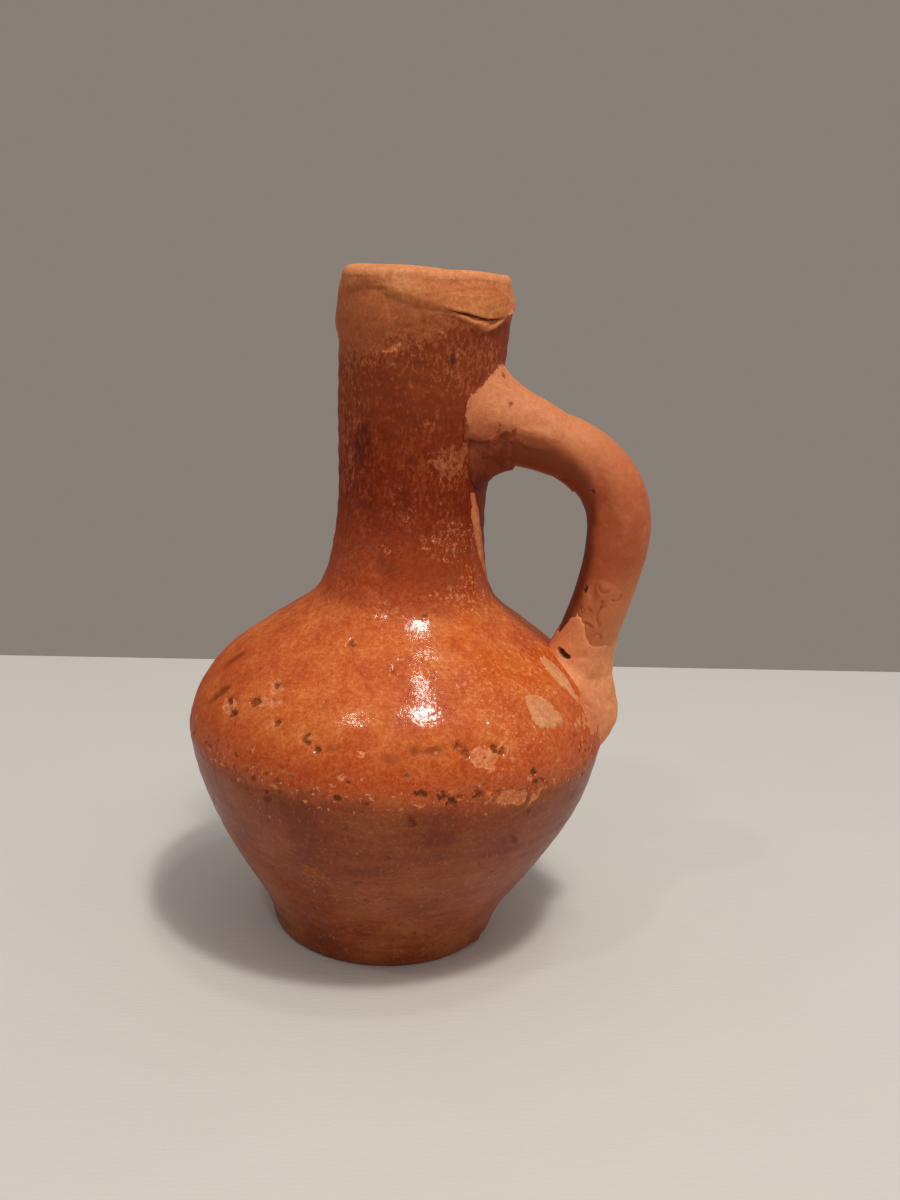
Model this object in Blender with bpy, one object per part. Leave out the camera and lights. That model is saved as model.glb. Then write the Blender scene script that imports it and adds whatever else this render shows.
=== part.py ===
"""A small wheel-thrown earthenware jug that has been mended.

The glazed vessel is thrown in one piece and leans a little. Its old handle broke off and left a glazed
stump on the neck. A new roll of clay stands on that stump, with clay pressed round both of its ends, the
broken rim is rebuilt as a band, and three smears of the mending clay lie on the glaze.

Metres, +Z up. The origin is the middle of the foot on the table, and the handle stands towards +X.
"""
import math
from collections import namedtuple

import bmesh
import bpy
import numpy as np
from mathutils import Matrix, Vector

# Thrown vessel. Each rise is measured from the height named before it.
FOOT_RADIUS = 0.0241
FOOT_TOP_RADIUS = 0.0247
FOOT_HEIGHT = 0.0055
FOOT_CHAMFER = 0.0008
BELLY_RADIUS = 0.0440
BELLY_RISE = 0.0405  # top of the foot to the widest ring
BELLY_FULLNESS = 1.5  # 1 makes the lower belly a plain cone, more makes it rounder
SHOULDER_TURN = 0.0098  # widest ring to where the shoulder cone would start
SHOULDER_ROUNDING = 0.0118  # length of the cone that the turn takes up
SHOULDER_RISE = 0.0296  # widest ring to the root of the neck
NECK_ROOT_RADIUS = 0.0172
NECK_ROOT_ROUNDING = 0.0070
NECK_WAIST_RADIUS = 0.0148
NECK_WAIST_RISE = 0.0164  # root of the neck to its narrowest ring
NECK_WAIST_ROUNDING = 0.0080
NECK_LENGTH = 0.0549  # root of the neck to the broken edge
NECK_TOP_RADIUS = 0.0171
BELLY_WALL = 0.0045
NECK_WALL = 0.0036
FLOOR_THICKNESS = 0.0060
FLOOR_FILLET = 0.0060
LEAN = math.radians(1.5)  # the whole jug tips towards its handle

# Broken edge of the neck, a slope from outside to inside that rises and falls round the neck
BREAK_SLOPE = 0.0040
BREAK_WAVE = 0.0012
BREAK_RIPPLE = 0.0005
BREAK_FADE = 0.0090  # length of the neck under the edge that takes up the wave
BREAK_HIGH_SIDE = math.radians(-30)

# Rebuilt rim
BAND_RISE = 0.0118  # broken edge to the lip
BAND_RADIUS = 0.0175
BAND_SWELL = 0.0045  # height above the broken edge at which the band is fullest
LIP_RADIUS = 0.0168
LIP_WALL = 0.0034
LIP_WAVE = 0.0007
LIP_RIPPLE = 0.0005
LIP_HIGH_SIDE = math.radians(-100)

# Roll handle, along a line from the neck to the shoulder
HANDLE_THICKNESS = 0.0129
HANDLE_WIDTH = 0.0132
HANDLE_ROOT_RISE = 0.0358  # root of the neck to the middle of the upper end
HANDLE_ROOT_PITCH = math.radians(2)
HANDLE_ROOT_PULL = 0.0118
HANDLE_SEAT_RISE = 0.0145  # widest ring to the middle of the lower end
HANDLE_SEAT_PITCH = math.radians(72)
HANDLE_SEAT_PULL = 0.0120
HANDLE_BEND_RISE = 0.0315  # middle of the lower end to the outermost point
HANDLE_CROWN_PULL = 0.0160
HANDLE_LIMB_PULL = 0.0120
HANDLE_SKEW = math.radians(18)  # the lower end lies round the vessel from the upper one
FINGER_GAP = 0.0214  # neck to the inside of the handle, at the outermost point

# Old handle's stump on the neck
STUMP_LENGTH = 0.0090
STUMP_FILLET = 0.0110  # distance from the neck over which it flares
STUMP_DROP = 0.0085  # how far its underside runs down the neck past the roll
STUMP_SPREAD = 0.0010

# Clay pressed over the upper end
COLLAR_REACH = 0.0150
COLLAR_SKIN = 0.0007
COLLAR_CLIMB = 0.0120  # how far it runs up the neck past the roll
COLLAR_SPREAD = 0.0027
COLLAR_HEM = 0.0030  # depth of its lower edge under the roll's middle line

# Clay pressed round the lower end
PAD_SKIN = 0.0007
PAD_SWELL = 0.0032
PAD_SPREAD = 0.0017
PAD_RISE = 0.0195  # fullest height up to where it thins out on the roll
PAD_DROP = 0.0100  # fullest height down to where it thins out on the belly
PAD_SAG = 0.0100  # fullest height under the middle of the roll's end
SLIT_LENGTH = 0.0040
SLIT_WIDTH = 0.0012
SLIT_DEPTH = 0.0050
SLIT_TURN = math.radians(5)
SLIT_RISE = 0.0034  # above the middle of the roll's end
SLIT_LIFT = 0.0024

# Smears of mending clay on the glaze
SMEAR_THICKNESS = 0.0007
ROUND_DAB_WIDTH = 0.0080
ROUND_DAB_LENGTH = 0.0074
ROUND_DAB_TURN = math.radians(-31)
ROUND_DAB_RISE = 0.0132  # above the widest ring
ROUND_DAB_TILT = math.radians(20)
LONG_DAB_WIDTH = 0.0026
LONG_DAB_LENGTH = 0.0135
LONG_DAB_TURN = math.radians(-9)
LONG_DAB_RISE = 0.0142  # above the widest ring
LONG_DAB_TILT = math.radians(4)
NECK_SMEAR_WIDTH = 0.0042
NECK_SMEAR_LENGTH = 0.0190
NECK_SMEAR_TURN = math.radians(-11)
NECK_SMEAR_RISE = 0.0122  # above the root of the neck
NECK_SMEAR_TILT = math.radians(17)

CLEARANCE = 0.0003  # gap left between pieces that touch
OVERRUN = 0.0060  # how far a piece or a cutter runs past the face that trims it

RING_SIDES = 48
ROLL_SIDES = 20
BELLY_STEPS = 8
TURN_STEPS = 5
BEND_STEPS = 16
STUMP_STEPS = 10
ARCH_STEPS = 22
COLLAR_STEPS = 13
DAB_SIDES = 18
DAB_RINGS = 3
DAB_FLATNESS = 4  # power that keeps a smear level up to its edge
SLIT_SIDES = 16
SHARP_EDGE = math.radians(35)

BELLY_HEIGHT = FOOT_HEIGHT + BELLY_RISE
NECK_ROOT_HEIGHT = BELLY_HEIGHT + SHOULDER_RISE
BREAK_HEIGHT = NECK_ROOT_HEIGHT + NECK_LENGTH
RIM_HEIGHT = BREAK_HEIGHT + BAND_RISE


def clear_scene():
    """Empty the scene."""
    for item in list(bpy.data.objects):
        bpy.data.objects.remove(item, do_unlink=True)


def finish(name, colour, roughness):
    """Make a plain fired-clay material."""
    material = bpy.data.materials.new(name)
    material.use_nodes = True
    shader = material.node_tree.nodes["Principled BSDF"]
    shader.inputs["Base Color"].default_value = (*colour, 1.0)
    shader.inputs["Roughness"].default_value = roughness
    shader.inputs["Metallic"].default_value = 0.0
    return material


def add_piece(name, bm, material, seat=Vector()):
    """Turn a finished bmesh into a named object whose origin is the point it seats on."""
    bmesh.ops.recalc_face_normals(bm, faces=bm.faces)
    bmesh.ops.translate(bm, verts=bm.verts, vec=-seat)
    mesh = bpy.data.meshes.new(name)
    bm.to_mesh(mesh)
    bm.free()
    mesh.shade_smooth()
    mesh.set_sharp_from_angle(angle=SHARP_EDGE)
    piece = bpy.data.objects.new(name, mesh)
    piece.location = seat
    bpy.context.scene.collection.objects.link(piece)
    if material:
        mesh.materials.append(material)
    return piece


def add_cutter(name, bm):
    """Turn a bmesh into a hidden solid that only trims other pieces."""
    cutter = add_piece(name, bm, None)
    cutter.hide_render = True
    cutter.display_type = "WIRE"
    return cutter


def gather(name):
    """Hang every piece on one empty at the middle of the foot."""
    pieces = list(bpy.context.scene.objects)
    jug = bpy.data.objects.new(name, None)
    bpy.context.scene.collection.objects.link(jug)
    for piece in pieces:
        piece.parent = jug


def cut(piece, *cutters):
    """Take the cutters out of a piece."""
    for cutter in cutters:
        trim = piece.modifiers.new(f"less {cutter.name}", "BOOLEAN")
        trim.operation = "DIFFERENCE"
        trim.solver = "EXACT"
        trim.object = cutter


def soft_turn(before, corner, after, reach_in, reach_out):
    """Points of a parabola that rounds a corner off, tangent to both of its sides."""
    way_in, way_out = before - corner, after - corner
    start = corner + way_in.normalized() * min(reach_in, way_in.length)
    end = corner + way_out.normalized() * min(reach_out, way_out.length / 2)
    points = []
    for step in range(TURN_STEPS + 1):
        t = step / TURN_STEPS
        points.append(start * (1 - t) ** 2 + corner * 2 * t * (1 - t) + end * t ** 2)
    return points


def outer_profile():
    """Outside of the thrown wall, foot to broken edge, as (radius, height) points."""
    belly = Vector((BELLY_RADIUS, BELLY_HEIGHT))
    shoulder = Vector((BELLY_RADIUS, BELLY_HEIGHT + SHOULDER_TURN))
    root = Vector((NECK_ROOT_RADIUS, NECK_ROOT_HEIGHT))
    waist = Vector((NECK_WAIST_RADIUS, NECK_ROOT_HEIGHT + NECK_WAIST_RISE))
    top = Vector((NECK_TOP_RADIUS, BREAK_HEIGHT - BREAK_SLOPE / 2))
    points = [Vector((FOOT_RADIUS - FOOT_CHAMFER, 0.0)), Vector((FOOT_RADIUS, FOOT_CHAMFER))]
    for step in range(BELLY_STEPS):
        t = step / BELLY_STEPS
        growth = 1 - (1 - t) ** BELLY_FULLNESS
        radius = FOOT_TOP_RADIUS + (BELLY_RADIUS - FOOT_TOP_RADIUS) * growth
        points.append(Vector((radius, FOOT_HEIGHT + BELLY_RISE * t)))
    points += soft_turn(belly, shoulder, root, SHOULDER_TURN, SHOULDER_ROUNDING)
    points += soft_turn(points[-1], root, waist, NECK_ROOT_ROUNDING, NECK_ROOT_ROUNDING)
    points += soft_turn(points[-1], waist, top, NECK_WAIST_ROUNDING, NECK_WAIST_ROUNDING)
    under_break = 1 - BREAK_FADE / (top - waist).length
    return points + [waist.lerp(top, under_break), top]


OUTSIDE = outer_profile()


def radius_at(height):
    """Outside radius of the vessel at a height."""
    return float(np.interp(height, [p.y for p in OUTSIDE], [p.x for p in OUTSIDE]))


def slope_at(height):
    """Outward normal of the vessel's outside at a height, as (radial, vertical)."""
    growth = (radius_at(height + CLEARANCE) - radius_at(height - CLEARANCE)) / (2 * CLEARANCE)
    return Vector((1.0, -growth)).normalized()


def wall_point(turn, height, lift=0.0):
    """Point over the vessel's outside, at an angle round it from the handle side, lifted off the wall."""
    normal = slope_at(height)
    radius = radius_at(height) + lift * normal.x
    level = height + lift * normal.y
    return settle(Vector((radius * math.cos(turn), radius * math.sin(turn), level)))


def settle(point):
    """Lean a point of the true wheel-thrown form to where it stands on the tipped jug."""
    return Vector((point.x + point.z * math.tan(LEAN), point.y, point.z))


def offset_profile(points, distance):
    """Profile moved along its normals, out for a positive distance, in (radius, height)."""
    moved = []
    for index, point in enumerate(points):
        along = points[min(index + 1, len(points) - 1)] - points[max(index - 1, 0)]
        normal = Vector((along.y, -along.x)).normalized()
        moved.append(point + normal * (distance(point.y) if callable(distance) else distance))
    return moved


def wall_at(height):
    """Thickness of the thrown wall at a height."""
    return float(np.interp(height, [BELLY_HEIGHT, NECK_ROOT_HEIGHT], [BELLY_WALL, NECK_WALL]))


def inner_profile():
    """Inside of the thrown wall, broken edge to the middle of the floor, as (radius, height) points."""
    wall = offset_profile(OUTSIDE, lambda height: -wall_at(height))
    wall = [point for point in wall if point.y > FLOOR_THICKNESS + FLOOR_FILLET / 2][:-1]
    wall.append(Vector((NECK_TOP_RADIUS - NECK_WALL, BREAK_HEIGHT + BREAK_SLOPE / 2)))
    corner = Vector((wall[0].x - FLOOR_FILLET / 2, FLOOR_THICKNESS))
    centre = Vector((0.0, FLOOR_THICKNESS))
    return wall[::-1] + soft_turn(wall[0], corner, centre, FLOOR_FILLET, FLOOR_FILLET)[1:] + [centre]


def revolve(profile, closed=False):
    """Turn a (radius, height) profile once round the wheel's axis."""
    bm = bmesh.new()
    verts = [bm.verts.new((point.x, 0.0, point.y)) for point in profile]
    edges = [bm.edges.new(pair) for pair in zip(verts, verts[1:])]
    if closed:
        edges.append(bm.edges.new((verts[-1], verts[0])))
    bmesh.ops.spin(bm, geom=verts + edges, axis=(0, 0, 1), cent=(0, 0, 0), angle=math.tau,
                   steps=RING_SIDES, use_merge=True)
    bmesh.ops.remove_doubles(bm, verts=bm.verts, dist=CLEARANCE / 100)
    return bm


def break_wave(turn):
    """Rise and fall of the broken edge round the neck."""
    return BREAK_WAVE * math.cos(turn - BREAK_HIGH_SIDE) + BREAK_RIPPLE * math.cos(3 * turn)


def lip_wave(turn):
    """Rise and fall of the rebuilt lip, pressed level only by eye."""
    return LIP_WAVE * math.cos(turn - LIP_HIGH_SIDE) + LIP_RIPPLE * math.cos(2 * turn - LIP_HIGH_SIDE)


def ease(value):
    """Smooth step from 0 to 1."""
    value = min(max(value, 0.0), 1.0)
    return value * value * (3 - 2 * value)


def make_vessel(material):
    """Foot, belly, shoulder and neck, thrown as one wall and broken off at the top."""
    bm = revolve([Vector((0.0, 0.0))] + OUTSIDE + inner_profile())
    low = OUTSIDE[-1].y - BREAK_FADE
    for vert in bm.verts:
        share = ease((vert.co.z - low) / BREAK_FADE)
        if share:
            vert.co.z += share * break_wave(math.atan2(vert.co.y, vert.co.x))
        vert.co = settle(vert.co)
    return add_piece("thrown_vessel", bm, material)


def make_vessel_cutter():
    """Filled outside of the vessel, grown by the clearance, for trimming what seats on it."""
    skin = offset_profile(OUTSIDE, CLEARANCE)
    base = Vector((0.0, -CLEARANCE))
    top = Vector((0.0, RIM_HEIGHT))
    bm = revolve([base] + skin + [Vector((skin[-1].x, RIM_HEIGHT)), top])
    for vert in bm.verts:
        vert.co = settle(vert.co)
    return add_cutter("vessel_outside", bm)


def make_rim_band(material):
    """Rebuilt rim: a band of clay seated on the slope of the break, with a soft uneven lip."""
    lift = CLEARANCE * math.hypot(NECK_WALL, BREAK_SLOPE) / NECK_WALL
    outer_seat = Vector((NECK_TOP_RADIUS, BREAK_HEIGHT - BREAK_SLOPE / 2 + lift))
    inner_seat = Vector((NECK_TOP_RADIUS - NECK_WALL, BREAK_HEIGHT + BREAK_SLOPE / 2 + lift))
    lip = Vector((LIP_RADIUS - LIP_WALL / 2, RIM_HEIGHT - LIP_WALL / 2))
    section = [outer_seat, Vector((BAND_RADIUS, BREAK_HEIGHT + BAND_SWELL))]
    for step in range(TURN_STEPS + 1):
        angle = math.pi * step / TURN_STEPS
        section.append(lip + Vector((math.cos(angle), math.sin(angle))) * LIP_WALL / 2)
    section.append(inner_seat)
    bm = revolve(section, closed=True)
    for vert in bm.verts:
        turn = math.atan2(vert.co.y, vert.co.x)
        share = ease((vert.co.z - inner_seat.y) / (RIM_HEIGHT - inner_seat.y))
        vert.co.z += break_wave(turn) * (1 - share) + lip_wave(turn) * share
        vert.co = settle(vert.co)
    return add_piece("rim_band", bm, material, settle(Vector((0.0, 0.0, BREAK_HEIGHT))))


def bezier(start, start_pull, end_pull, end, steps):
    """Points of a cubic curve, without its last."""
    points = []
    for step in range(steps):
        t = step / steps
        points.append(start * (1 - t) ** 3 + start_pull * 3 * t * (1 - t) ** 2
                      + end_pull * 3 * t ** 2 * (1 - t) + end * t ** 3)
    return points


def handle_line():
    """Middle line of the roll, neck to shoulder, as (distance out, height) points."""
    def surface(height):
        return Vector((radius_at(height) + height * math.tan(LEAN), height))

    def aim(pitch, pull):
        return Vector((math.cos(pitch), math.sin(pitch))) * pull

    root = surface(NECK_ROOT_HEIGHT + HANDLE_ROOT_RISE)
    seat = surface(BELLY_HEIGHT + HANDLE_SEAT_RISE)
    bend = surface(seat.y + HANDLE_BEND_RISE) + Vector((FINGER_GAP + HANDLE_THICKNESS / 2, 0.0))
    crown, limb = Vector((0.0, HANDLE_CROWN_PULL)), Vector((0.0, HANDLE_LIMB_PULL))
    root_aim = aim(HANDLE_ROOT_PITCH, HANDLE_ROOT_PULL)
    seat_aim = aim(HANDLE_SEAT_PITCH, HANDLE_SEAT_PULL)
    line = bezier(root, root + root_aim, bend + crown, bend, BEND_STEPS)
    line += bezier(bend, bend - limb, seat + seat_aim, seat, BEND_STEPS)
    inward = root - root_aim.normalized() * OVERRUN
    onward = seat - seat_aim.normalized() * OVERRUN
    return [inward] + line + [seat, onward]


Station = namedtuple("Station", "length middle outer flank")


def handle_stations():
    """Stations along the roll: distance from the neck, middle point and the unit ways out and sideways."""
    line = handle_line()
    lengths = np.concatenate([[0.0], np.cumsum([(b - a).length for a, b in zip(line, line[1:])])]) - OVERRUN
    whole = lengths[-1] - OVERRUN
    turns = [HANDLE_SKEW * (min(max(length / whole, 0.0), 1.0) - 0.5) for length in lengths]
    middles = [Vector((p.x * math.cos(a), p.x * math.sin(a), p.y)) for p, a in zip(line, turns)]
    stations = []
    for index, (length, middle, turn) in enumerate(zip(lengths, middles, turns)):
        along = (middles[min(index + 1, len(line) - 1)] - middles[max(index - 1, 0)]).normalized()
        flank = Vector((-math.sin(turn), math.cos(turn), 0.0))
        flank = (flank - along * flank.dot(along)).normalized()
        stations.append(Station(float(length), middle, along.cross(flank), flank))
    return stations


STATIONS = handle_stations()


def station_at(length):
    """Station of the roll at any distance from the neck."""
    lengths = [station.length for station in STATIONS]
    index = min(max(int(np.searchsorted(lengths, length)) - 1, 0), len(lengths) - 2)
    near, far = STATIONS[index], STATIONS[index + 1]
    share = (length - near.length) / (far.length - near.length)
    outer = near.outer.lerp(far.outer, share).normalized()
    flank = near.flank.lerp(far.flank, share).normalized()
    return Station(length, near.middle.lerp(far.middle, share), outer, flank)


def spread(start, end, steps):
    """Evenly spaced distances along the roll."""
    return [start + (end - start) * step / steps for step in range(steps + 1)]


def fillet(length, reach):
    """Share of a flare that is left at a distance from the neck: 1 at the neck, 0 past its reach."""
    share = min(max(1 - length / reach, 0.0), 1.0)
    return 1 - math.sqrt(1 - share ** 2)


def oval(station, outer, inner, flank):
    """Closed section across the roll, with its own depth on the outer and on the inner side."""
    points = []
    for step in range(ROLL_SIDES):
        angle = math.tau * step / ROLL_SIDES
        depth = outer if math.cos(angle) > 0 else inner
        point = station.middle + station.outer * depth * math.cos(angle)
        points.append(point + station.flank * flank * math.sin(angle))
    return points


def loft(sections):
    """Skin a row of closed sections and cap both ends."""
    bm = bmesh.new()
    rings = [[bm.verts.new(point) for point in section] for section in sections]
    for near, far in zip(rings, rings[1:]):
        for index in range(len(near)):
            after = (index + 1) % len(near)
            bm.faces.new((near[index], near[after], far[after], far[index]))
    bm.faces.new(rings[0][::-1])
    bm.faces.new(rings[-1])
    return bm


def roll(lengths, grow=0.0):
    """Stretch of the handle's roll through the given distances, with the stump's flare near the neck."""
    sections = []
    for length in lengths:
        flare = fillet(length, STUMP_FILLET)
        outer = HANDLE_THICKNESS / 2 + grow
        flank = HANDLE_WIDTH / 2 + STUMP_SPREAD * flare + grow
        sections.append(oval(station_at(length), outer, outer + STUMP_DROP * flare, flank))
    return loft(sections)


def make_hem_cutter():
    """Block under the level at which the collar's lower edge is trimmed along both flanks."""
    middle = station_at(0.0).middle
    size = 2 * (COLLAR_REACH + OVERRUN + HANDLE_WIDTH)
    bm = bmesh.new()
    level = Matrix.Translation((middle.x, middle.y, middle.z - COLLAR_HEM - size / 2))
    bmesh.ops.create_cube(bm, size=size, matrix=level)
    return add_cutter("under_collar_hem", bm)


def make_collar(material, *cutters):
    """Clay pressed over the stump and the start of the roll, run up the neck and hemmed along both flanks."""
    sections = []
    for length in spread(-OVERRUN, COLLAR_REACH, COLLAR_STEPS):
        flare = fillet(length, COLLAR_REACH)
        skin = HANDLE_THICKNESS / 2 + COLLAR_SKIN
        flank = HANDLE_WIDTH / 2 + COLLAR_SKIN + COLLAR_SPREAD * flare
        sections.append(oval(station_at(length), skin + COLLAR_CLIMB * flare, skin, flank))
    collar = add_piece("upper_luting_collar", loft(sections), material, station_at(0.0).middle)
    cut(collar, *cutters, make_hem_cutter())
    return collar


def make_pad(material, *cutters):
    """Clay pressed round the roll's lower end, fullest on the turn of the shoulder."""
    limb = [station.middle for station in STATIONS[BEND_STEPS + 1:-1]][::-1]
    full_height = limb[0].z - PAD_SAG
    top, bottom = full_height + PAD_RISE, full_height - PAD_DROP
    levels = [middle.z for middle in limb]
    sections = []
    steps = 2 * TURN_STEPS
    for step in range(steps + 1):
        height = bottom + (top - bottom) * (step + 0.5) / (steps + 0.5)
        across = [float(np.interp(height, levels, [middle[axis] for middle in limb])) for axis in (0, 1)]
        swell = math.cos(math.pi / 2 * max(height - full_height, 0.0) / PAD_RISE) ** 2
        draw_in = math.sqrt(1 - (max(full_height - height, 0.0) / PAD_DROP) ** 2)
        skin = (HANDLE_THICKNESS / 2 + PAD_SKIN) / math.sin(HANDLE_SEAT_PITCH)
        depth = (skin + PAD_SWELL * swell) * draw_in
        flank = (HANDLE_WIDTH / 2 + PAD_SKIN + PAD_SPREAD * swell) * draw_in
        outward = Vector((math.cos(HANDLE_SKEW / 2), math.sin(HANDLE_SKEW / 2), 0.0))
        side = Vector((-outward.y, outward.x, 0.0))
        level = Station(0.0, Vector((*across, height)), outward, side)
        sections.append(oval(level, depth, depth, flank))
    pad = add_piece("lower_luting_pad", loft(sections), material, limb[0])
    cut(pad, *cutters)
    return pad


def make_slit_cutter():
    """Lens-shaped slit left open where the pad bridges the shoulder."""
    turn = HANDLE_SKEW / 2 - SLIT_TURN
    height = BELLY_HEIGHT + HANDLE_SEAT_RISE + SLIT_RISE
    middle = wall_point(turn, height, SLIT_LIFT)
    normal = (wall_point(turn, height, SLIT_LIFT) - wall_point(turn, height)).normalized()
    across = Vector((-math.sin(turn), math.cos(turn), 0.0))
    along = across.cross(normal)
    axes = (along * SLIT_LENGTH / 2, normal * SLIT_WIDTH / 2, across * SLIT_DEPTH)
    frame = Matrix([[axis[row] for axis in axes] + [middle[row]] for row in range(3)] + [[0, 0, 0, 1]])
    bm = bmesh.new()
    bmesh.ops.create_uvsphere(bm, u_segments=SLIT_SIDES, v_segments=SLIT_SIDES // 2, radius=1.0,
                              matrix=frame)
    return add_cutter("pad_slit", bm)


def make_smear(name, turn, height, width, length, tilt, material):
    """Lens of clay lying on the glaze: length runs down the wall, width round it."""
    normal = slope_at(height)
    radius = radius_at(height)

    def place(share, angle, lift):
        across = share * width / 2 * math.cos(angle)
        down = share * length / 2 * math.sin(angle)
        side = across * math.cos(tilt) + down * math.sin(tilt)
        fall = down * math.cos(tilt) - across * math.sin(tilt)
        return wall_point(turn + side / radius, height - fall * normal.x, CLEARANCE + lift)

    bm = bmesh.new()
    angles = [math.tau * step / DAB_SIDES for step in range(DAB_SIDES)]
    edge = [bm.verts.new(place(1.0, angle, 0.0)) for angle in angles]
    for crown in (SMEAR_THICKNESS, 0.0):
        outer = edge
        for ring in range(DAB_RINGS - 1, 0, -1):
            share = ring / DAB_RINGS
            lift = crown * (1 - share ** DAB_FLATNESS)
            inner = [bm.verts.new(place(share, angle, lift)) for angle in angles]
            for index in range(DAB_SIDES):
                after = (index + 1) % DAB_SIDES
                bm.faces.new((outer[index], outer[after], inner[after], inner[index]))
            outer = inner
        middle = bm.verts.new(place(0.0, 0.0, crown))
        for index in range(DAB_SIDES):
            bm.faces.new((outer[index], outer[(index + 1) % DAB_SIDES], middle))
    return add_piece(name, bm, material, wall_point(turn, height))


def build():
    """Make every piece of the jug, in the order in which it was made and mended."""
    clear_scene()
    glaze = finish("honey_glaze", (0.42, 0.13, 0.035), 0.22)
    old_glaze = finish("sooty_stump_glaze", (0.16, 0.055, 0.025), 0.45)
    handle_clay = finish("handle_clay", (0.40, 0.14, 0.065), 0.75)
    rim_clay = finish("rim_clay", (0.42, 0.17, 0.08), 0.85)
    collar_clay = finish("collar_clay", (0.46, 0.18, 0.085), 0.80)
    pad_clay = finish("pad_clay", (0.48, 0.19, 0.09), 0.80)
    round_dab_clay = finish("round_dab_clay", (0.52, 0.23, 0.11), 0.85)
    long_dab_clay = finish("long_dab_clay", (0.50, 0.21, 0.10), 0.85)
    neck_smear_clay = finish("neck_smear_clay", (0.48, 0.22, 0.11), 0.80)

    make_vessel(glaze)
    make_rim_band(rim_clay)
    outside = make_vessel_cutter()
    stump_lengths = spread(-OVERRUN, STUMP_LENGTH, STUMP_STEPS)
    arch_lengths = spread(STUMP_LENGTH + CLEARANCE, STATIONS[-1].length, ARCH_STEPS)
    roll_space = add_cutter("roll_space", roll(stump_lengths + arch_lengths, CLEARANCE))

    stump_end = station_at(STUMP_LENGTH).middle
    cut(add_piece("handle_stump", roll(stump_lengths), old_glaze, station_at(0.0).middle), outside)
    cut(add_piece("handle_arch", roll(arch_lengths), handle_clay, stump_end), outside)
    make_collar(collar_clay, outside, roll_space)
    make_pad(pad_clay, outside, roll_space, make_slit_cutter())

    make_smear("neck_smear", NECK_SMEAR_TURN, NECK_ROOT_HEIGHT + NECK_SMEAR_RISE, NECK_SMEAR_WIDTH,
               NECK_SMEAR_LENGTH, NECK_SMEAR_TILT, neck_smear_clay)
    make_smear("shoulder_dab_round", ROUND_DAB_TURN, BELLY_HEIGHT + ROUND_DAB_RISE, ROUND_DAB_WIDTH,
               ROUND_DAB_LENGTH, ROUND_DAB_TILT, round_dab_clay)
    make_smear("shoulder_dab_long", LONG_DAB_TURN, BELLY_HEIGHT + LONG_DAB_RISE, LONG_DAB_WIDTH,
               LONG_DAB_LENGTH, LONG_DAB_TILT, long_dab_clay)
    gather("jug")


build()
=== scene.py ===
"""Looks of a small mended earthenware jug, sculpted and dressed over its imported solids.

The glazed vessel, the stump of its old handle, the new roll handle, the clay pressed round both ends of the
roll, the rebuilt rim and the smears of mending clay are each made again in fine mesh, with procedural glaze
and fired-clay finishes. Metres, +Z up, the handle towards +X, the foot's middle at the origin.
"""

import itertools
import logging
import math
from dataclasses import dataclass, field, replace
from enum import Enum
from functools import cached_property

import bmesh
import bpy
import numpy as np
from mathutils import Matrix, Vector

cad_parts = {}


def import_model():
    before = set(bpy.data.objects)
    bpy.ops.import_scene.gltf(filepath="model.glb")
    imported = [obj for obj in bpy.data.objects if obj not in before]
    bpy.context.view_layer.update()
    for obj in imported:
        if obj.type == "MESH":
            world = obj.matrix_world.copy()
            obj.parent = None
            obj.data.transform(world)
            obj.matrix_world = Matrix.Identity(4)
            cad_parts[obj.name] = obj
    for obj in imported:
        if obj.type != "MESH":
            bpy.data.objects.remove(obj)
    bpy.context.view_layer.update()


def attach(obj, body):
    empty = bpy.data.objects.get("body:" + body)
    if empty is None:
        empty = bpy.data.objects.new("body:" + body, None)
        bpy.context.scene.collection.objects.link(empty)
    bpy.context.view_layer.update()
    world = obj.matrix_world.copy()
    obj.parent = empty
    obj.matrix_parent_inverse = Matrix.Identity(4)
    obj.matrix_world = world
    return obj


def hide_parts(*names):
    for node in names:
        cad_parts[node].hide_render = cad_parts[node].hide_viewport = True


Array = np.ndarray
Socket = bpy.types.NodeSocket
Colour = tuple[float, float, float]
Axes = tuple[float, float, float]

LOG = logging.getLogger("jug")
BODY = "root"
MM = 0.001
HASH_WAYS = np.array([73856093, 19349663, 83492791])
HASH_SEED = 2654435761
HASH_MIX = 1274126177
HASH_TOP = 0xFFFF
HASH_FIRST_SHIFT = 13
HASH_LAST_SHIFT = 16
LAYERS_SUM = 1.5


class Mark(Enum):
    """Kinds of damage and handling marks on a surface; the first five are also painted masks. On some clay
    pieces the chip mask also carries painted light, and the smudge mask carries painted shade.
    """

    PIT = "pit"
    CHIP_AND_PAINTED_LIGHT = "chip"
    SMUDGE_AND_PAINTED_SHADE = "soot"
    FILM = "film"
    CRUMB = "crumb"
    LUMP = "lump"
    DENT = "dent"
    NAIL = "nail"
    RING = "ring"
    SLIT = "slit"


PAINTED = (Mark.PIT, Mark.CHIP_AND_PAINTED_LIGHT, Mark.SMUDGE_AND_PAINTED_SHADE, Mark.FILM, Mark.CRUMB)


class Sum(Enum):
    """Ways of putting two values of a finish together."""

    PLUS = "ADD"
    MINUS = "SUBTRACT"
    TIMES = "MULTIPLY"
    MOST = "MAXIMUM"


class Lay(Enum):
    """Ways of laying one colour over another."""

    OVER = "MIX"
    TINT = "MULTIPLY"


@dataclass(frozen=True)
class Blemish:
    """One mark, placed by its angle in degrees and its level in millimetres, and sized in millimetres."""

    mark: Mark
    at: tuple[float, float]
    size: tuple[float, float]
    depth: float = 0.0
    tilt: float = 0.0
    ragged: float = 0.6
    strength: float = 1.0


def smooth_step(value: Array) -> Array:
    """Ease a value from 0 to 1."""
    value = np.clip(value, 0.0, 1.0)
    return value * value * (3.0 - 2.0 * value)


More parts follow.
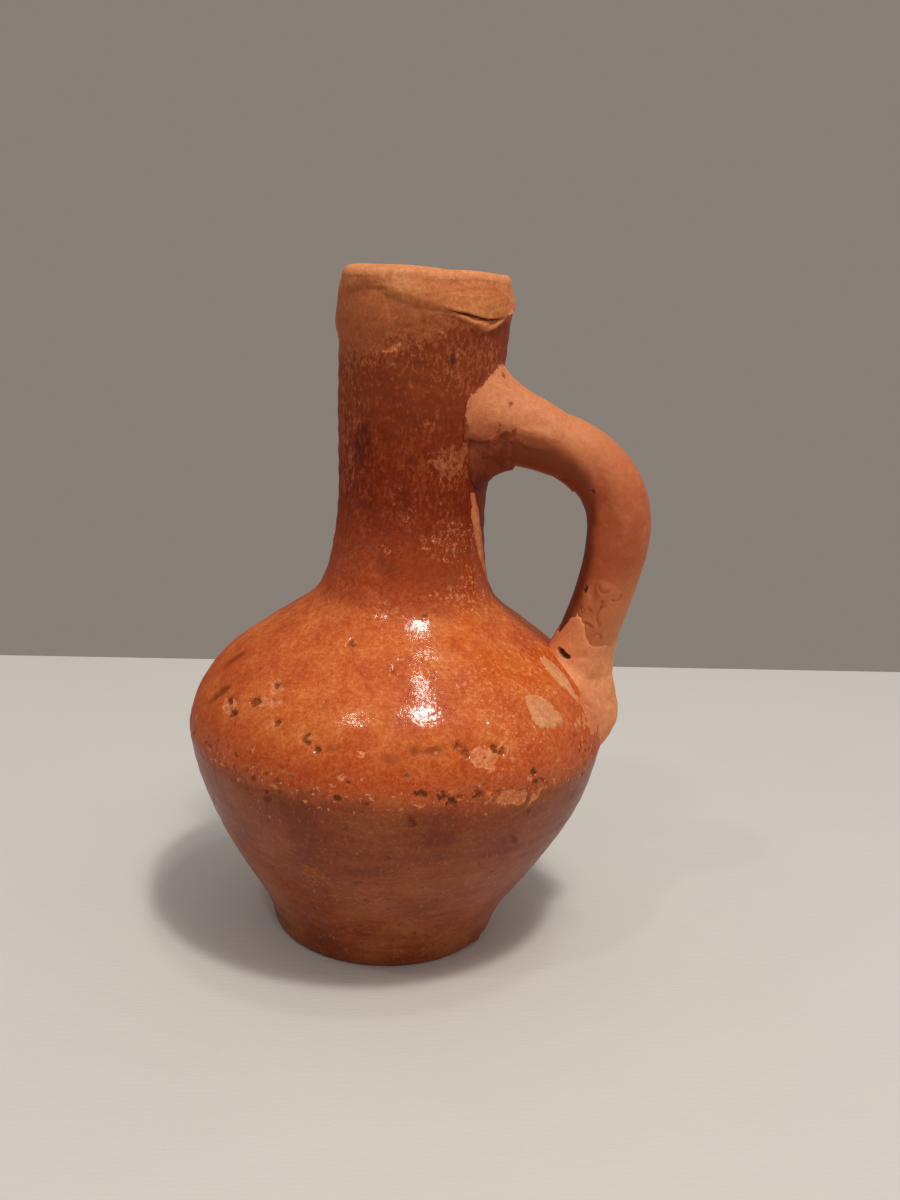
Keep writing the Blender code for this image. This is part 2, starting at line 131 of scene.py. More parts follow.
def lattice_noise(points: Array, pitch: float, seed: int) -> Array:
    """Smooth seeded noise.

    Args:
        points: Points in metres, coordinates in the last axis.
        pitch: Distance between the noise's lattice points.
        seed: Number that picks the pattern.

    Returns:
        One value from -1 to 1 for each point.
    """
    cell = points / pitch
    base = np.floor(cell).astype(np.int64)
    blend = smooth_step(cell - base)
    total = np.zeros(points.shape[:-1])
    for corner in itertools.product((0, 1), repeat=3):
        code = (base + np.array(corner)) @ HASH_WAYS + seed * HASH_SEED
        code = (code ^ (code >> HASH_FIRST_SHIFT)) * HASH_MIX
        code = (code ^ (code >> HASH_LAST_SHIFT)) & HASH_TOP
        weight = np.prod(np.where(corner, blend, 1.0 - blend), axis=-1)
        total += weight * (2.0 * code / HASH_TOP - 1.0)
    return total


def clumps(points: Array, pitch: float, seed: int, layers: int = 3) -> Array:
    """Layered noise, each layer half as wide and half as strong as the one before.

    Args:
        points: Points in metres, coordinates in the last axis.
        pitch: Lattice distance of the widest layer.
        seed: Number that picks the pattern.
        layers: Number of layers.

    Returns:
        One value of about -1 to 1 for each point.
    """
    total = np.zeros(points.shape[:-1])
    for layer in range(layers):
        total += lattice_noise(points, pitch / 2 ** layer, seed + layer) / 2 ** layer
    return total / LAYERS_SUM


def keyed(turn: Array, keys: dict[float, float]) -> Array:
    """Value at each angle of a ring that runs through values keyed by degrees."""
    return np.interp(np.degrees(turn), list(keys), list(keys.values()), period=360.0)


def deg(turn: float) -> float:
    """Degrees as radians."""
    return math.radians(turn)


def bell(value: Array, middle: float, width: Array | float) -> Array:
    """Bump of height one about a middle value."""
    return np.exp(-((value - middle) / width) ** 2)


def wrap(angle: Array) -> Array:
    """Angle brought into the half turn either side of zero."""
    return (angle + math.pi) % math.tau - math.pi


def unit(vectors: Array) -> Array:
    """Vectors scaled to length one."""
    return vectors / np.linalg.norm(vectors, axis=-1, keepdims=True)


def soft_turn(before: Array, corner: Array, after: Array, reach_in: float, reach_out: float,
              steps: int = 24) -> Array:
    """Round a corner off with a parabola that is tangent to both of its sides.

    Args:
        before: A point on the side that leads to the corner.
        corner: The corner.
        after: A point on the side that leaves it.
        reach_in: Length of the first side that the turn takes up.
        reach_out: Length of the second side that the turn takes up.
        steps: Number of steps along the turn.

    Returns:
        Points along the turn.
    """
    way_in, way_out = before - corner, after - corner
    start = corner + unit(way_in) * min(reach_in, np.linalg.norm(way_in))
    end = corner + unit(way_out) * min(reach_out, np.linalg.norm(way_out) / 2)
    t = np.linspace(0.0, 1.0, steps + 1)[:, None]
    return start * (1 - t) ** 2 + corner * 2 * t * (1 - t) + end * t ** 2


def make_piece(name: str, grid: Array, masks: dict[str, Array], ring: bool = False) -> bpy.types.Object:
    """Turn a grid of points into a closed, smooth object that carries painted masks.

    Args:
        name: Name of the object.
        grid: Points in rows, each row closed round the piece.
        masks: Painted values, one for each point of the grid.
        ring: True where the last row joins the first, and false where both end rows are capped.

    Returns:
        The new object.
    """
    rows, columns = grid.shape[:2]
    points = grid.reshape(-1, 3)
    index = np.arange(rows * columns).reshape(rows, columns)
    after = np.roll(index, -1, axis=1)
    above, above_after = np.roll(index, -1, axis=0), np.roll(after, -1, axis=0)
    last = rows if ring else rows - 1
    faces = np.stack([index, after, above_after, above], axis=-1)[:last].reshape(-1, 4).tolist()
    if not ring:
        points = np.vstack([points, grid[0].mean(axis=0), grid[-1].mean(axis=0)])
        low, high = rows * columns, rows * columns + 1
        faces += [(low, after[0, c], index[0, c]) for c in range(columns)]
        faces += [(high, index[-1, c], after[-1, c]) for c in range(columns)]
    mesh = bpy.data.meshes.new(name)
    mesh.from_pydata(points.tolist(), [], faces)
    bm = bmesh.new()
    bm.from_mesh(mesh)
    bmesh.ops.recalc_face_normals(bm, faces=bm.faces)
    bm.to_mesh(mesh)
    bm.free()
    mesh.shade_smooth()
    for mask, values in masks.items():
        painted = np.zeros(len(points), dtype=np.float32)
        painted[:rows * columns] = np.clip(values, 0.0, 1.0).ravel()
        mesh.attributes.new(mask, "FLOAT", "POINT").data.foreach_set("value", painted)
    piece = bpy.data.objects.new(name, mesh)
    bpy.context.scene.collection.objects.link(piece)
    return piece


class Relief:
    """Depth and painted masks of a surface, built up mark by mark over its two directions."""

    REACH = 1.5
    ROUGH_PARTS = 5
    ROUGH_SEED = 71
    EDGE = 0.25

    def __init__(self, turn: Array, level: Array, radius: Array, points: Array,
                 stretch: Array | float = 1.0) -> None:
        """Start level and clean.

        Args:
            turn: Angle of each point round the surface.
            level: Distance of each point along the surface.
            radius: Radius that turns an angle into a length round the surface.
            points: The points, for noise.
            stretch: Length on the surface of one unit of level.
        """
        self.turn, self.level, self.radius, self.points = turn, level, radius, points
        self.stretch = np.broadcast_to(stretch, turn.shape)
        self.lift = np.zeros(turn.shape)
        self.masks = {mark.value: np.zeros(turn.shape) for mark in PAINTED}

    def paint(self, mark: Mark, amount: Array) -> None:
        """Paint a mask where the new amount is stronger than what is there."""
        self.masks[mark.value] = np.maximum(self.masks[mark.value], amount)

    def press(self, blemishes: list[Blemish]) -> None:
        """Work a list of marks into the surface."""
        for blemish in blemishes:
            self.add(blemish)

    def add(self, blemish: Blemish) -> None:
        """Work one mark into the surface.

        Args:
            blemish: The mark.
        """
        turn, tilt = deg(blemish.at[0]), deg(blemish.tilt)
        wide, tall = blemish.size[0] * MM, blemish.size[1] * MM
        side = wrap(self.turn - turn) * self.radius
        rise = (self.level - blemish.at[1] * MM) * self.stretch
        reach = self.REACH * max(wide, tall)
        near = (np.abs(side) < reach) & (np.abs(rise) < reach)
        if not near.any():
            return
        across = side[near] * math.cos(tilt) + rise[near] * math.sin(tilt)
        along = rise[near] * math.cos(tilt) - side[near] * math.sin(tilt)
        rough = clumps(self.points[near], (wide + tall) / self.ROUGH_PARTS, self.ROUGH_SEED)
        far = np.hypot(2 * across / wide, 2 * along / tall) + blemish.ragged * rough
        lift, paints = self.worked(blemish.mark, far, across, rough)
        self.lift[near] += lift * blemish.depth * MM
        for mark, amount in paints.items():
            mask = self.masks[mark.value]
            mask[near] = np.maximum(mask[near], amount * blemish.strength)

    @classmethod
    def worked(cls, mark: Mark, far: Array, across: Array, rough: Array) -> tuple[Array, dict[Mark, Array]]:
        """Shape and paint of one kind of mark.

        Args:
            mark: The kind of mark.
            far: Distance from the mark's middle, 1 at its edge.
            across: Distance across the mark, in metres.
            rough: Noise over the mark.

        Returns:
            The lift of each point as a share of the mark's depth, and the strength of each paint there.
        """
        hollow = np.exp(-far ** 2)
        inside = smooth_step((1.0 - far) / cls.EDGE)
        if mark is Mark.PIT:
            crumbs = bell(far, 1.3, 0.30) * smooth_step(2.5 * rough)
            return 0.4 * crumbs - inside, {Mark.PIT: inside, Mark.CRUMB: 0.8 * crumbs}
        if mark is Mark.CHIP_AND_PAINTED_LIGHT:
            return -inside, {Mark.CHIP_AND_PAINTED_LIGHT: inside}
        # Slits are painted with the hole colour, near black on the clay pieces: painted shade inside the gap
        if mark is Mark.SLIT:
            return -inside, {Mark.PIT: inside}
        if mark in (Mark.SMUDGE_AND_PAINTED_SHADE, Mark.FILM, Mark.CRUMB):
            return 0.0 * far, {mark: smooth_step((1.3 - far) / 1.1)}
        if mark is Mark.LUMP:
            return np.exp(-far ** 4), {}
        if mark is Mark.NAIL:
            arc = bell(far, 1.0, 0.20) * (across > 0)
            lip = bell(far, 1.45, 0.25) * (across > 0)
            return 0.5 * lip - arc, {Mark.SMUDGE_AND_PAINTED_SHADE: 0.25 * arc}
        if mark is Mark.RING:
            return 0.6 * bell(far, 1.0, 0.3) - hollow, {Mark.SMUDGE_AND_PAINTED_SHADE: 0.25 * hollow}
        return -hollow, {}


@dataclass(frozen=True)
class VesselForm:
    """True wheel-thrown outside of the jug and the lean with which it stands."""

    foot_radius: float = 0.0241
    foot_top_radius: float = 0.0247
    foot_height: float = 0.0055
    foot_chamfer: float = 0.0008
    belly_radius: float = 0.0440
    belly_rise: float = 0.0405
    belly_fullness: float = 1.5
    shoulder_turn: float = 0.0098
    shoulder_rounding: float = 0.0118
    shoulder_rise: float = 0.0296
    neck_root_radius: float = 0.0172
    neck_root_rounding: float = 0.0070
    neck_waist_radius: float = 0.0148
    neck_waist_rise: float = 0.0164
    neck_waist_rounding: float = 0.0080
    neck_length: float = 0.0549
    neck_top_radius: float = 0.0171
    neck_overrun: float = 0.0075
    break_slope: float = 0.0040
    belly_wall: float = 0.0045
    neck_wall: float = 0.0036
    floor_thickness: float = 0.0060
    lean: float = math.radians(1.5)
    wobble: float = 0.0003
    wobble_pitch: float = 0.027
    wobble_seed: int = 5
    wobble_from: float = 0.008
    shoulder_swell: float = 0.0006
    foot_fillet: float = 0.0008
    foot_fillet_reach: float = 0.0032
    side_swell: float = 0.0009
    side_swell_low: float = 0.010
    side_swell_rise: float = 0.042
    side_swell_turn: float = 0.05
    side_swell_spread: float = 0.5
    slope_reach: float = 0.0004

    @property
    def belly_height(self) -> float:
        """Height of the widest ring."""
        return self.foot_height + self.belly_rise

    @property
    def neck_root_height(self) -> float:
        """Height of the root of the neck."""
        return self.belly_height + self.shoulder_rise

    @property
    def break_height(self) -> float:
        """Height of the broken edge of the neck."""
        return self.neck_root_height + self.neck_length

    @cached_property
    def outside(self) -> Array:
        """Outside of the wall, from the foot to past the broken edge.

        Returns:
            Dense points, each a radius and a height.
        """
        belly = np.array([self.belly_radius, self.belly_height])
        shoulder = belly + np.array([0.0, self.shoulder_turn])
        root = np.array([self.neck_root_radius, self.neck_root_height])
        waist = np.array([self.neck_waist_radius, self.neck_root_height + self.neck_waist_rise])
        top = np.array([self.neck_top_radius, self.break_height - self.break_slope / 2])
        t = np.linspace(0.0, 1.0, 60, endpoint=False)
        growth = 1 - (1 - t) ** self.belly_fullness
        radii = self.foot_top_radius + (self.belly_radius - self.foot_top_radius) * growth
        foot = np.array([[self.foot_radius - self.foot_chamfer, 0.0], [self.foot_radius, self.foot_chamfer]])
        lower = np.stack([radii, self.foot_height + self.belly_rise * t], axis=-1)
        turn = soft_turn(belly, shoulder, root, self.shoulder_turn, self.shoulder_rounding)
        throat = soft_turn(turn[-1], root, waist, self.neck_root_rounding, self.neck_root_rounding)
        neck = soft_turn(throat[-1], waist, top, self.neck_waist_rounding, self.neck_waist_rounding)
        over = top + unit(top - waist) * self.neck_overrun
        return np.vstack([foot, lower, turn, throat, neck, [top], [over]])

    def radius_at(self, height: Array) -> Array:
        """Outside radius at each height."""
        return np.interp(height, self.outside[:, 1], self.outside[:, 0])

    def slope_at(self, height: Array) -> tuple[Array, Array]:
        """Way in which the outside faces.

        Args:
            height: Heights on the outside.

        Returns:
            The radial and the vertical share of the outward normal at each height.
        """
        reach = self.slope_reach
        growth = (self.radius_at(height + reach) - self.radius_at(height - reach)) / (2 * reach)
        size = np.hypot(1.0, growth)
        return 1.0 / size, -growth / size

    def wall_at(self, height: Array) -> Array:
        """Thickness of the wall at each height."""
        heights = [self.belly_height, self.neck_root_height]
        return np.interp(height, heights, [self.belly_wall, self.neck_wall])

    def place(self, turn: Array, radius: Array, height: Array) -> Array:
        """Points at an angle, radius and height on the leaning jug."""
        across = radius * np.cos(turn) + height * math.tan(self.lean)
        return np.stack(np.broadcast_arrays(across, radius * np.sin(turn), height), axis=-1)

    def point(self, turn: Array, height: Array, lift: Array | float = 0.0) -> Array:
        """Points that stand off the outside by a lift along its normal."""
        radial, vertical = self.slope_at(height)
        return self.place(turn, self.radius_at(height) + lift * radial, height + lift * vertical)

    def swell_at(self, turn: Array, height: Array) -> Array:
        """How far the hand-thrown wall stands off its true form.

        Args:
            turn: Angle of each point round the jug.
            height: Height of each point.

        Returns:
            The lift of the wall along its normal.
        """
        swell = self.wobble * lattice_noise(self.point(turn, height), self.wobble_pitch, self.wobble_seed)
        swell = swell * smooth_step(height / self.wobble_from)
        shoulder_low = self.belly_height + self.shoulder_turn
        shoulder = np.clip((height - shoulder_low) / (self.neck_root_height - shoulder_low), 0.0, 1.0)
        swell = swell + self.shoulder_swell * np.sin(math.pi * shoulder)
        swell = swell + self.foot_fillet * bell(height, self.foot_height, self.foot_fillet_reach)
        lower = np.clip((height - self.side_swell_low) / self.side_swell_rise, 0.0, 1.0)
        near_handle = bell(wrap(turn - self.side_swell_turn), 0.0, self.side_swell_spread)
        return swell + self.side_swell * np.sin(math.pi * lower) ** 2 * near_handle

    def depth_of(self, points: Array) -> tuple[Array, Array]:
        """Radius of each point about the leaning axis, and the outside radius at its height."""
        across = points[..., 0] - points[..., 2] * math.tan(self.lean)
        return np.hypot(across, points[..., 1]), self.radius_at(points[..., 2])

    def keep_in_wall(self, points: Array, depth: float) -> Array:
        """Draw what reaches into the hollow back into the wall.

        Args:
            points: Points of a piece that is rooted in the wall.
            depth: How far under the outside the piece may reach.

        Returns:
            The points, none deeper than that.
        """
        radius, outside = self.depth_of(points)
        least = outside - depth / self.slope_at(points[..., 2])[0]
        pushed = np.maximum(radius, least)
        turn = np.arctan2(points[..., 1], points[..., 0] - points[..., 2] * math.tan(self.lean))
        return np.where((radius < least)[..., None], self.place(turn, pushed, points[..., 2]), points)


@dataclass(frozen=True)
class RollPath:
    """Middle line of the handle's roll, from the neck to the shoulder."""

    form: VesselForm
    thickness: float = 0.0129
    width: float = 0.0132
    root_rise: float = 0.0358
    root_pitch: float = math.radians(2)
    root_pull: float = 0.0118
    seat_rise: float = 0.0145
    seat_pitch: float = math.radians(72)
    seat_pull: float = 0.0120
    bend_rise: float = 0.0315
    crown_pull: float = 0.0160
    limb_pull: float = 0.0120
    skew: float = math.radians(18)
    finger_gap: float = 0.0214
    overrun: float = 0.0060
    steps: int = 60

    def surface(self, height: float) -> Array:
        """Point of the jug's outside on the handle's side, as (distance out, height)."""
        return np.array([float(self.form.radius_at(height)) + height * math.tan(self.form.lean), height])

    def curve(self, points: list[Array]) -> Array:
        """Lay a cubic curve.

        Args:
            points: Its two ends, and between them the two points that pull it.

        Returns:
            Points along the curve, without its last.
        """
        t = np.linspace(0.0, 1.0, self.steps, endpoint=False)[:, None]
        shares = ((1 - t) ** 3, 3 * t * (1 - t) ** 2, 3 * t ** 2 * (1 - t), t ** 3)
        return sum(share * point for share, point in zip(shares, points))

    @cached_property
    def line(self) -> Array:
        """Middle line of the roll in its own plane.

        Returns:
            Points along the line, each a distance out and a height.
        """
        root = self.surface(self.form.neck_root_height + self.root_rise)
        seat = self.surface(self.form.belly_height + self.seat_rise)
        bend = self.surface(seat[1] + self.bend_rise) + np.array([self.finger_gap + self.thickness / 2, 0.0])
        root_way = np.array([math.cos(self.root_pitch), math.sin(self.root_pitch)])
        seat_way = np.array([math.cos(self.seat_pitch), math.sin(self.seat_pitch)])
        up = np.array([0.0, 1.0])
        first = self.curve([root, root + root_way * self.root_pull, bend + up * self.crown_pull, bend])
        second = self.curve([bend, bend - up * self.limb_pull, seat + seat_way * self.seat_pull, seat])
        return np.vstack([[root - root_way * self.overrun], first, second, [seat],
                          [seat - seat_way * self.overrun]])

    @cached_property
    def lengths(self) -> Array:
        """Distance of each point of the line from the neck."""
        steps = np.linalg.norm(np.diff(self.line, axis=0), axis=1)
        return np.concatenate([[0.0], np.cumsum(steps)]) - self.overrun

    @cached_property
    def frames(self) -> tuple[Array, Array, Array]:
        """Sections of the roll, turned round the jug by the skew.

        Returns:
            The middle point, the outward way and the sideways way at each point of the line.
        """
        whole = self.lengths[-1] - self.overrun
        turn = self.skew * (np.clip(self.lengths / whole, 0.0, 1.0) - 0.5)
        out, height = self.line.T
        middle = np.stack([out * np.cos(turn), out * np.sin(turn), height], axis=-1)
        along = unit(np.gradient(middle, axis=0))
        flank = np.stack([-np.sin(turn), np.cos(turn), np.zeros_like(turn)], axis=-1)
        flank = unit(flank - along * np.sum(flank * along, axis=-1, keepdims=True))
        return middle, np.cross(along, flank), flank

    def at(self, length: Array) -> list[Array]:
        """Find the roll's sections.

        Args:
            length: Distances from the neck.

        Returns:
            The middle point, the outward way and the sideways way at each distance.
        """
        found = []
        for values in self.frames:
            axes = [np.interp(length, self.lengths, axis) for axis in values.T]
            found.append(np.stack(axes, axis=-1))
        return [found[0], unit(found[1]), unit(found[2])]

    def tube(self, length: Array, angle: Array, outer: Array, flank: Array) -> Array:
        """Points round the roll, in rows, from the half depth and the half width of its section."""
        middle, out, side = (values[:, None, :] for values in self.at(length))
        return middle + out * (outer * np.cos(angle))[..., None] + side * (flank * np.sin(angle))[..., None]


@dataclass(frozen=True)
class Breakup:
    """How noise breaks a painted mask up: its strength, where the flecks begin and where they are full."""

    gain: float = 2.0
    low: float = 0.50
    high: float = 0.72


FILM_BREAK = Breakup(gain=2.4, low=0.35, high=0.65)
PIT_BREAK = Breakup(gain=2.4)
CHIP_BREAK = Breakup(gain=1.2, low=0.35, high=0.60)
CRUMB_BREAK = Breakup(gain=1.8)
SOOT_BREAK = Breakup(gain=1.0, low=0.15, high=1.1)
NOISE_MIDDLE = 0.5


class Bench:
    """Node bench on which one finish is laid out, part by part."""

    GRAINS = {0.30: (0.74, 0.48, 0.32), 0.50: (1.0, 1.0, 1.0), 0.70: (1.32, 2.05, 2.90)}

    def __init__(self, name: str, gloss: float = 0.3) -> None:
        """Open a new material with its shader and its coordinates.

        Args:
            name: Name of the material.
            gloss: Strength of its mirror reflection.
        """
        self.material = bpy.data.materials.new(name)
        self.material.use_nodes = True
        self.tree = self.material.node_tree
        self.shader = self.tree.nodes["Principled BSDF"]
        self.shader.inputs["Specular IOR Level"].default_value = gloss
        self.coords = self.tree.nodes.new("ShaderNodeTexCoord").outputs["Object"]

    def wire(self, socket: Socket, value: Socket | float | Colour | Axes) -> None:
        """Set an input to a number, a colour or axes, or join it to an output.

        Args:
            socket: The input.
            value: What goes into it.
        """
        if isinstance(value, bpy.types.NodeSocket):
            self.tree.links.new(value, socket)
        elif isinstance(value, tuple):
            socket.default_value = (*value, 1.0) if len(socket.default_value) == 4 else value
        else:
            socket.default_value = value

    def stretched(self, scale: Axes) -> Socket:
        """Scale the coordinates.

        Args:
            scale: Scale along each axis.

        Returns:
            The scaled coordinates.
        """
        node = self.tree.nodes.new("ShaderNodeMapping")
        self.wire(node.inputs["Vector"], self.coords)
        self.wire(node.inputs["Scale"], scale)
        return node.outputs["Vector"]

    def noise(self, pitch: float, detail: float = 3.0, rough: float = 0.55,
              stretch: Axes = (1.0, 1.0, 1.0)) -> Socket:
        """Noise of about 0 to 1.

        Args:
            pitch: Size of its clumps, in metres.
            detail: Number of finer layers.
            rough: Strength of the finer layers.
            stretch: Scale of the pattern along each axis.

        Returns:
            The noise.
        """
        node = self.tree.nodes.new("ShaderNodeTexNoise")
        self.wire(node.inputs["Vector"], self.stretched(stretch))
        self.wire(node.inputs["Scale"], 1.0 / pitch)
        self.wire(node.inputs["Detail"], detail)
        self.wire(node.inputs["Roughness"], rough)
        return node.outputs["Fac"]

    @cached_property
    def clump(self) -> Socket:
        """Clumps of a few millimetres."""
        return self.noise(pitch=4.5 * MM, detail=4.0, rough=0.6)

    @cached_property
    def grain(self) -> Socket:
        """Speckle as strong in its finest grains as in its widest ones."""
        return self.noise(pitch=1.0 * MM, detail=3.0, rough=0.95)

    @cached_property
    def speck(self) -> Socket:
        """Fine specks."""
        return self.noise(pitch=0.9 * MM, detail=2.0, rough=0.6)

    @cached_property
    def streak(self) -> Socket:
        """Speckle drawn out upwards, as by a wiping hand."""
        return self.noise(pitch=0.8 * MM, detail=4.0, rough=0.75, stretch=(1.0, 1.0, 0.55))

    @cached_property
    def mottle(self) -> Socket:
        """Clumps with speckle in them."""
        return self.weighed({0.25: self.clump, 0.75: self.grain})

    def painted(self, mask: Mark) -> Socket:
        """Read a mask that is painted on the mesh.

        Args:
            mask: The mask.

        Returns:
            Its strength.
        """
        node = self.tree.nodes.new("ShaderNodeAttribute")
        node.attribute_name = mask.value
        return node.outputs["Fac"]

    def broken(self, mask: Socket, noise: Socket, breakup: Breakup) -> Socket:
        """Painted mask broken up by noise, whole where it is strong and in flecks where it is weak."""
        uneven = self.times(self.math(Sum.MINUS, noise, NOISE_MIDDLE), breakup.gain)
        return self.range(self.plus(mask, uneven), breakup.low, breakup.high)

    def height(self) -> Socket:
        """Read the height over the foot.

        Returns:
            The height, in metres.
        """
        node = self.tree.nodes.new("ShaderNodeSeparateXYZ")
        self.wire(node.inputs["Vector"], self.coords)
        return node.outputs["Z"]

    def math(self, how: Sum, first: Socket | float, second: Socket | float) -> Socket:
        """Put two values together.

        Args:
            how: The way of it.
            first: One value.
            second: The other.

        Returns:
            The result.
        """
        node = self.tree.nodes.new("ShaderNodeMath")
        node.operation = how.value
        self.wire(node.inputs[0], first)
        self.wire(node.inputs[1], second)
        return node.outputs["Value"]

    def plus(self, first: Socket | float, second: Socket | float) -> Socket:
        """Two values added."""
        return self.math(Sum.PLUS, first, second)

    def times(self, first: Socket | float, second: Socket | float) -> Socket:
        """Two values multiplied."""
        return self.math(Sum.TIMES, first, second)

    def most(self, first: Socket | float, second: Socket | float) -> Socket:
        """The greater of two values."""
        return self.math(Sum.MOST, first, second)

    def weighed(self, shares: dict[float, Socket]) -> Socket:
        """Two values added up by the shares that they are filed under."""
        first, second = (self.times(value, share) for share, value in shares.items())
        return self.plus(first, second)

    def range(self, value: Socket, low: float, high: float, start: float = 0.0, end: float = 1.0) -> Socket:
        """Value eased from one range into another.

        Args:
            value: The value.
            low: Where the result is start.
            high: Where the result is end.
            start: First result.
            end: Last result.

        Returns:
            The result.
        """
        node = self.tree.nodes.new("ShaderNodeMapRange")
        node.interpolation_type = "SMOOTHSTEP"
        for name, number in zip(("From Min", "From Max", "To Min", "To Max"), (low, high, start, end)):
            self.wire(node.inputs[name], number)
        self.wire(node.inputs["Value"], value)
        return node.outputs["Result"]

    def ramp(self, value: Socket, stops: dict[float, Colour]) -> Socket:
        """Lay colours along a value.

        Args:
            value: The value.
            stops: The colour at each place along it.

        Returns:
            The colour.
        """
        node = self.tree.nodes.new("ShaderNodeValToRGB")
        places = list(stops)
        points = node.color_ramp.elements
        points[0].position, points[1].position = places[0], places[-1]
        for place in places[1:-1]:
            points.new(place)
        for point, place in zip(points, places):
            point.color = (*stops[place], 1.0)
        self.wire(node.inputs["Fac"], value)
        return node.outputs["Color"]

    def mix(self, share: Socket | float, first: Socket | Colour, second: Socket | Colour,
            how: Lay = Lay.OVER) -> Socket:
        """Lay one colour over another.

        Args:
            share: How much of the second colour shows.
            first: The colour below.
            second: The colour above.
            how: The way of laying it.

        Returns:
            The colour.
        """
        node = self.tree.nodes.new("ShaderNodeMix")
        node.data_type = "RGBA"
        node.blend_type = how.value
        inputs = [socket for socket in node.inputs if socket.type == "RGBA"]
        self.wire(node.inputs[0], share)
        self.wire(inputs[0], first)
        self.wire(inputs[1], second)
        return next(socket for socket in node.outputs if socket.type == "RGBA")

    def speckled(self, colour: Socket | Colour, share: Socket | float = 1.0) -> Socket:
        """Colour broken into redder and tanner grains, by a share."""
        return self.mix(share, colour, self.ramp(self.grain, self.GRAINS), Lay.TINT)

    def edge_on(self) -> Socket:
        """Share by which the surface turns away from the eye, for gloss alone."""
        return self.tree.nodes.new("ShaderNodeLayerWeight").outputs["Facing"]

    def bump(self, height: Socket, distance: float) -> Socket:
        """Raise fine relief.

        Args:
            height: The relief.
            distance: Its depth in metres.

        Returns:
            The way in which the surface then faces.
        """
        node = self.tree.nodes.new("ShaderNodeBump")
        self.wire(node.inputs["Distance"], distance)
        self.wire(node.inputs["Height"], height)
        return node.outputs["Normal"]

    def coat(self, weight: Socket, bend: float, roughness: float, normal: Socket) -> None:
        """Lay a clear glassy coat over the colour.

        Args:
            weight: Where the coat lies.
            bend: How strongly it bends light.
            roughness: How dull the coat is.
            normal: Its relief.
        """
        self.wire(self.shader.inputs["Coat Weight"], weight)
        self.wire(self.shader.inputs["Coat IOR"], bend)
        self.wire(self.shader.inputs["Coat Roughness"], roughness)
        self.wire(self.shader.inputs["Coat Normal"], normal)

    def finish(self, colour: Socket, roughness: Socket, normal: Socket) -> bpy.types.Material:
        """Join the parts to the shader.

        Args:
            colour: Colour of the surface.
            roughness: How dull it is.
            normal: Its relief.

        Returns:
            The material.
        """
        self.wire(self.shader.inputs["Base Color"], colour)
        self.wire(self.shader.inputs["Roughness"], roughness)
        self.wire(self.shader.inputs["Normal"], normal)
        return self.material


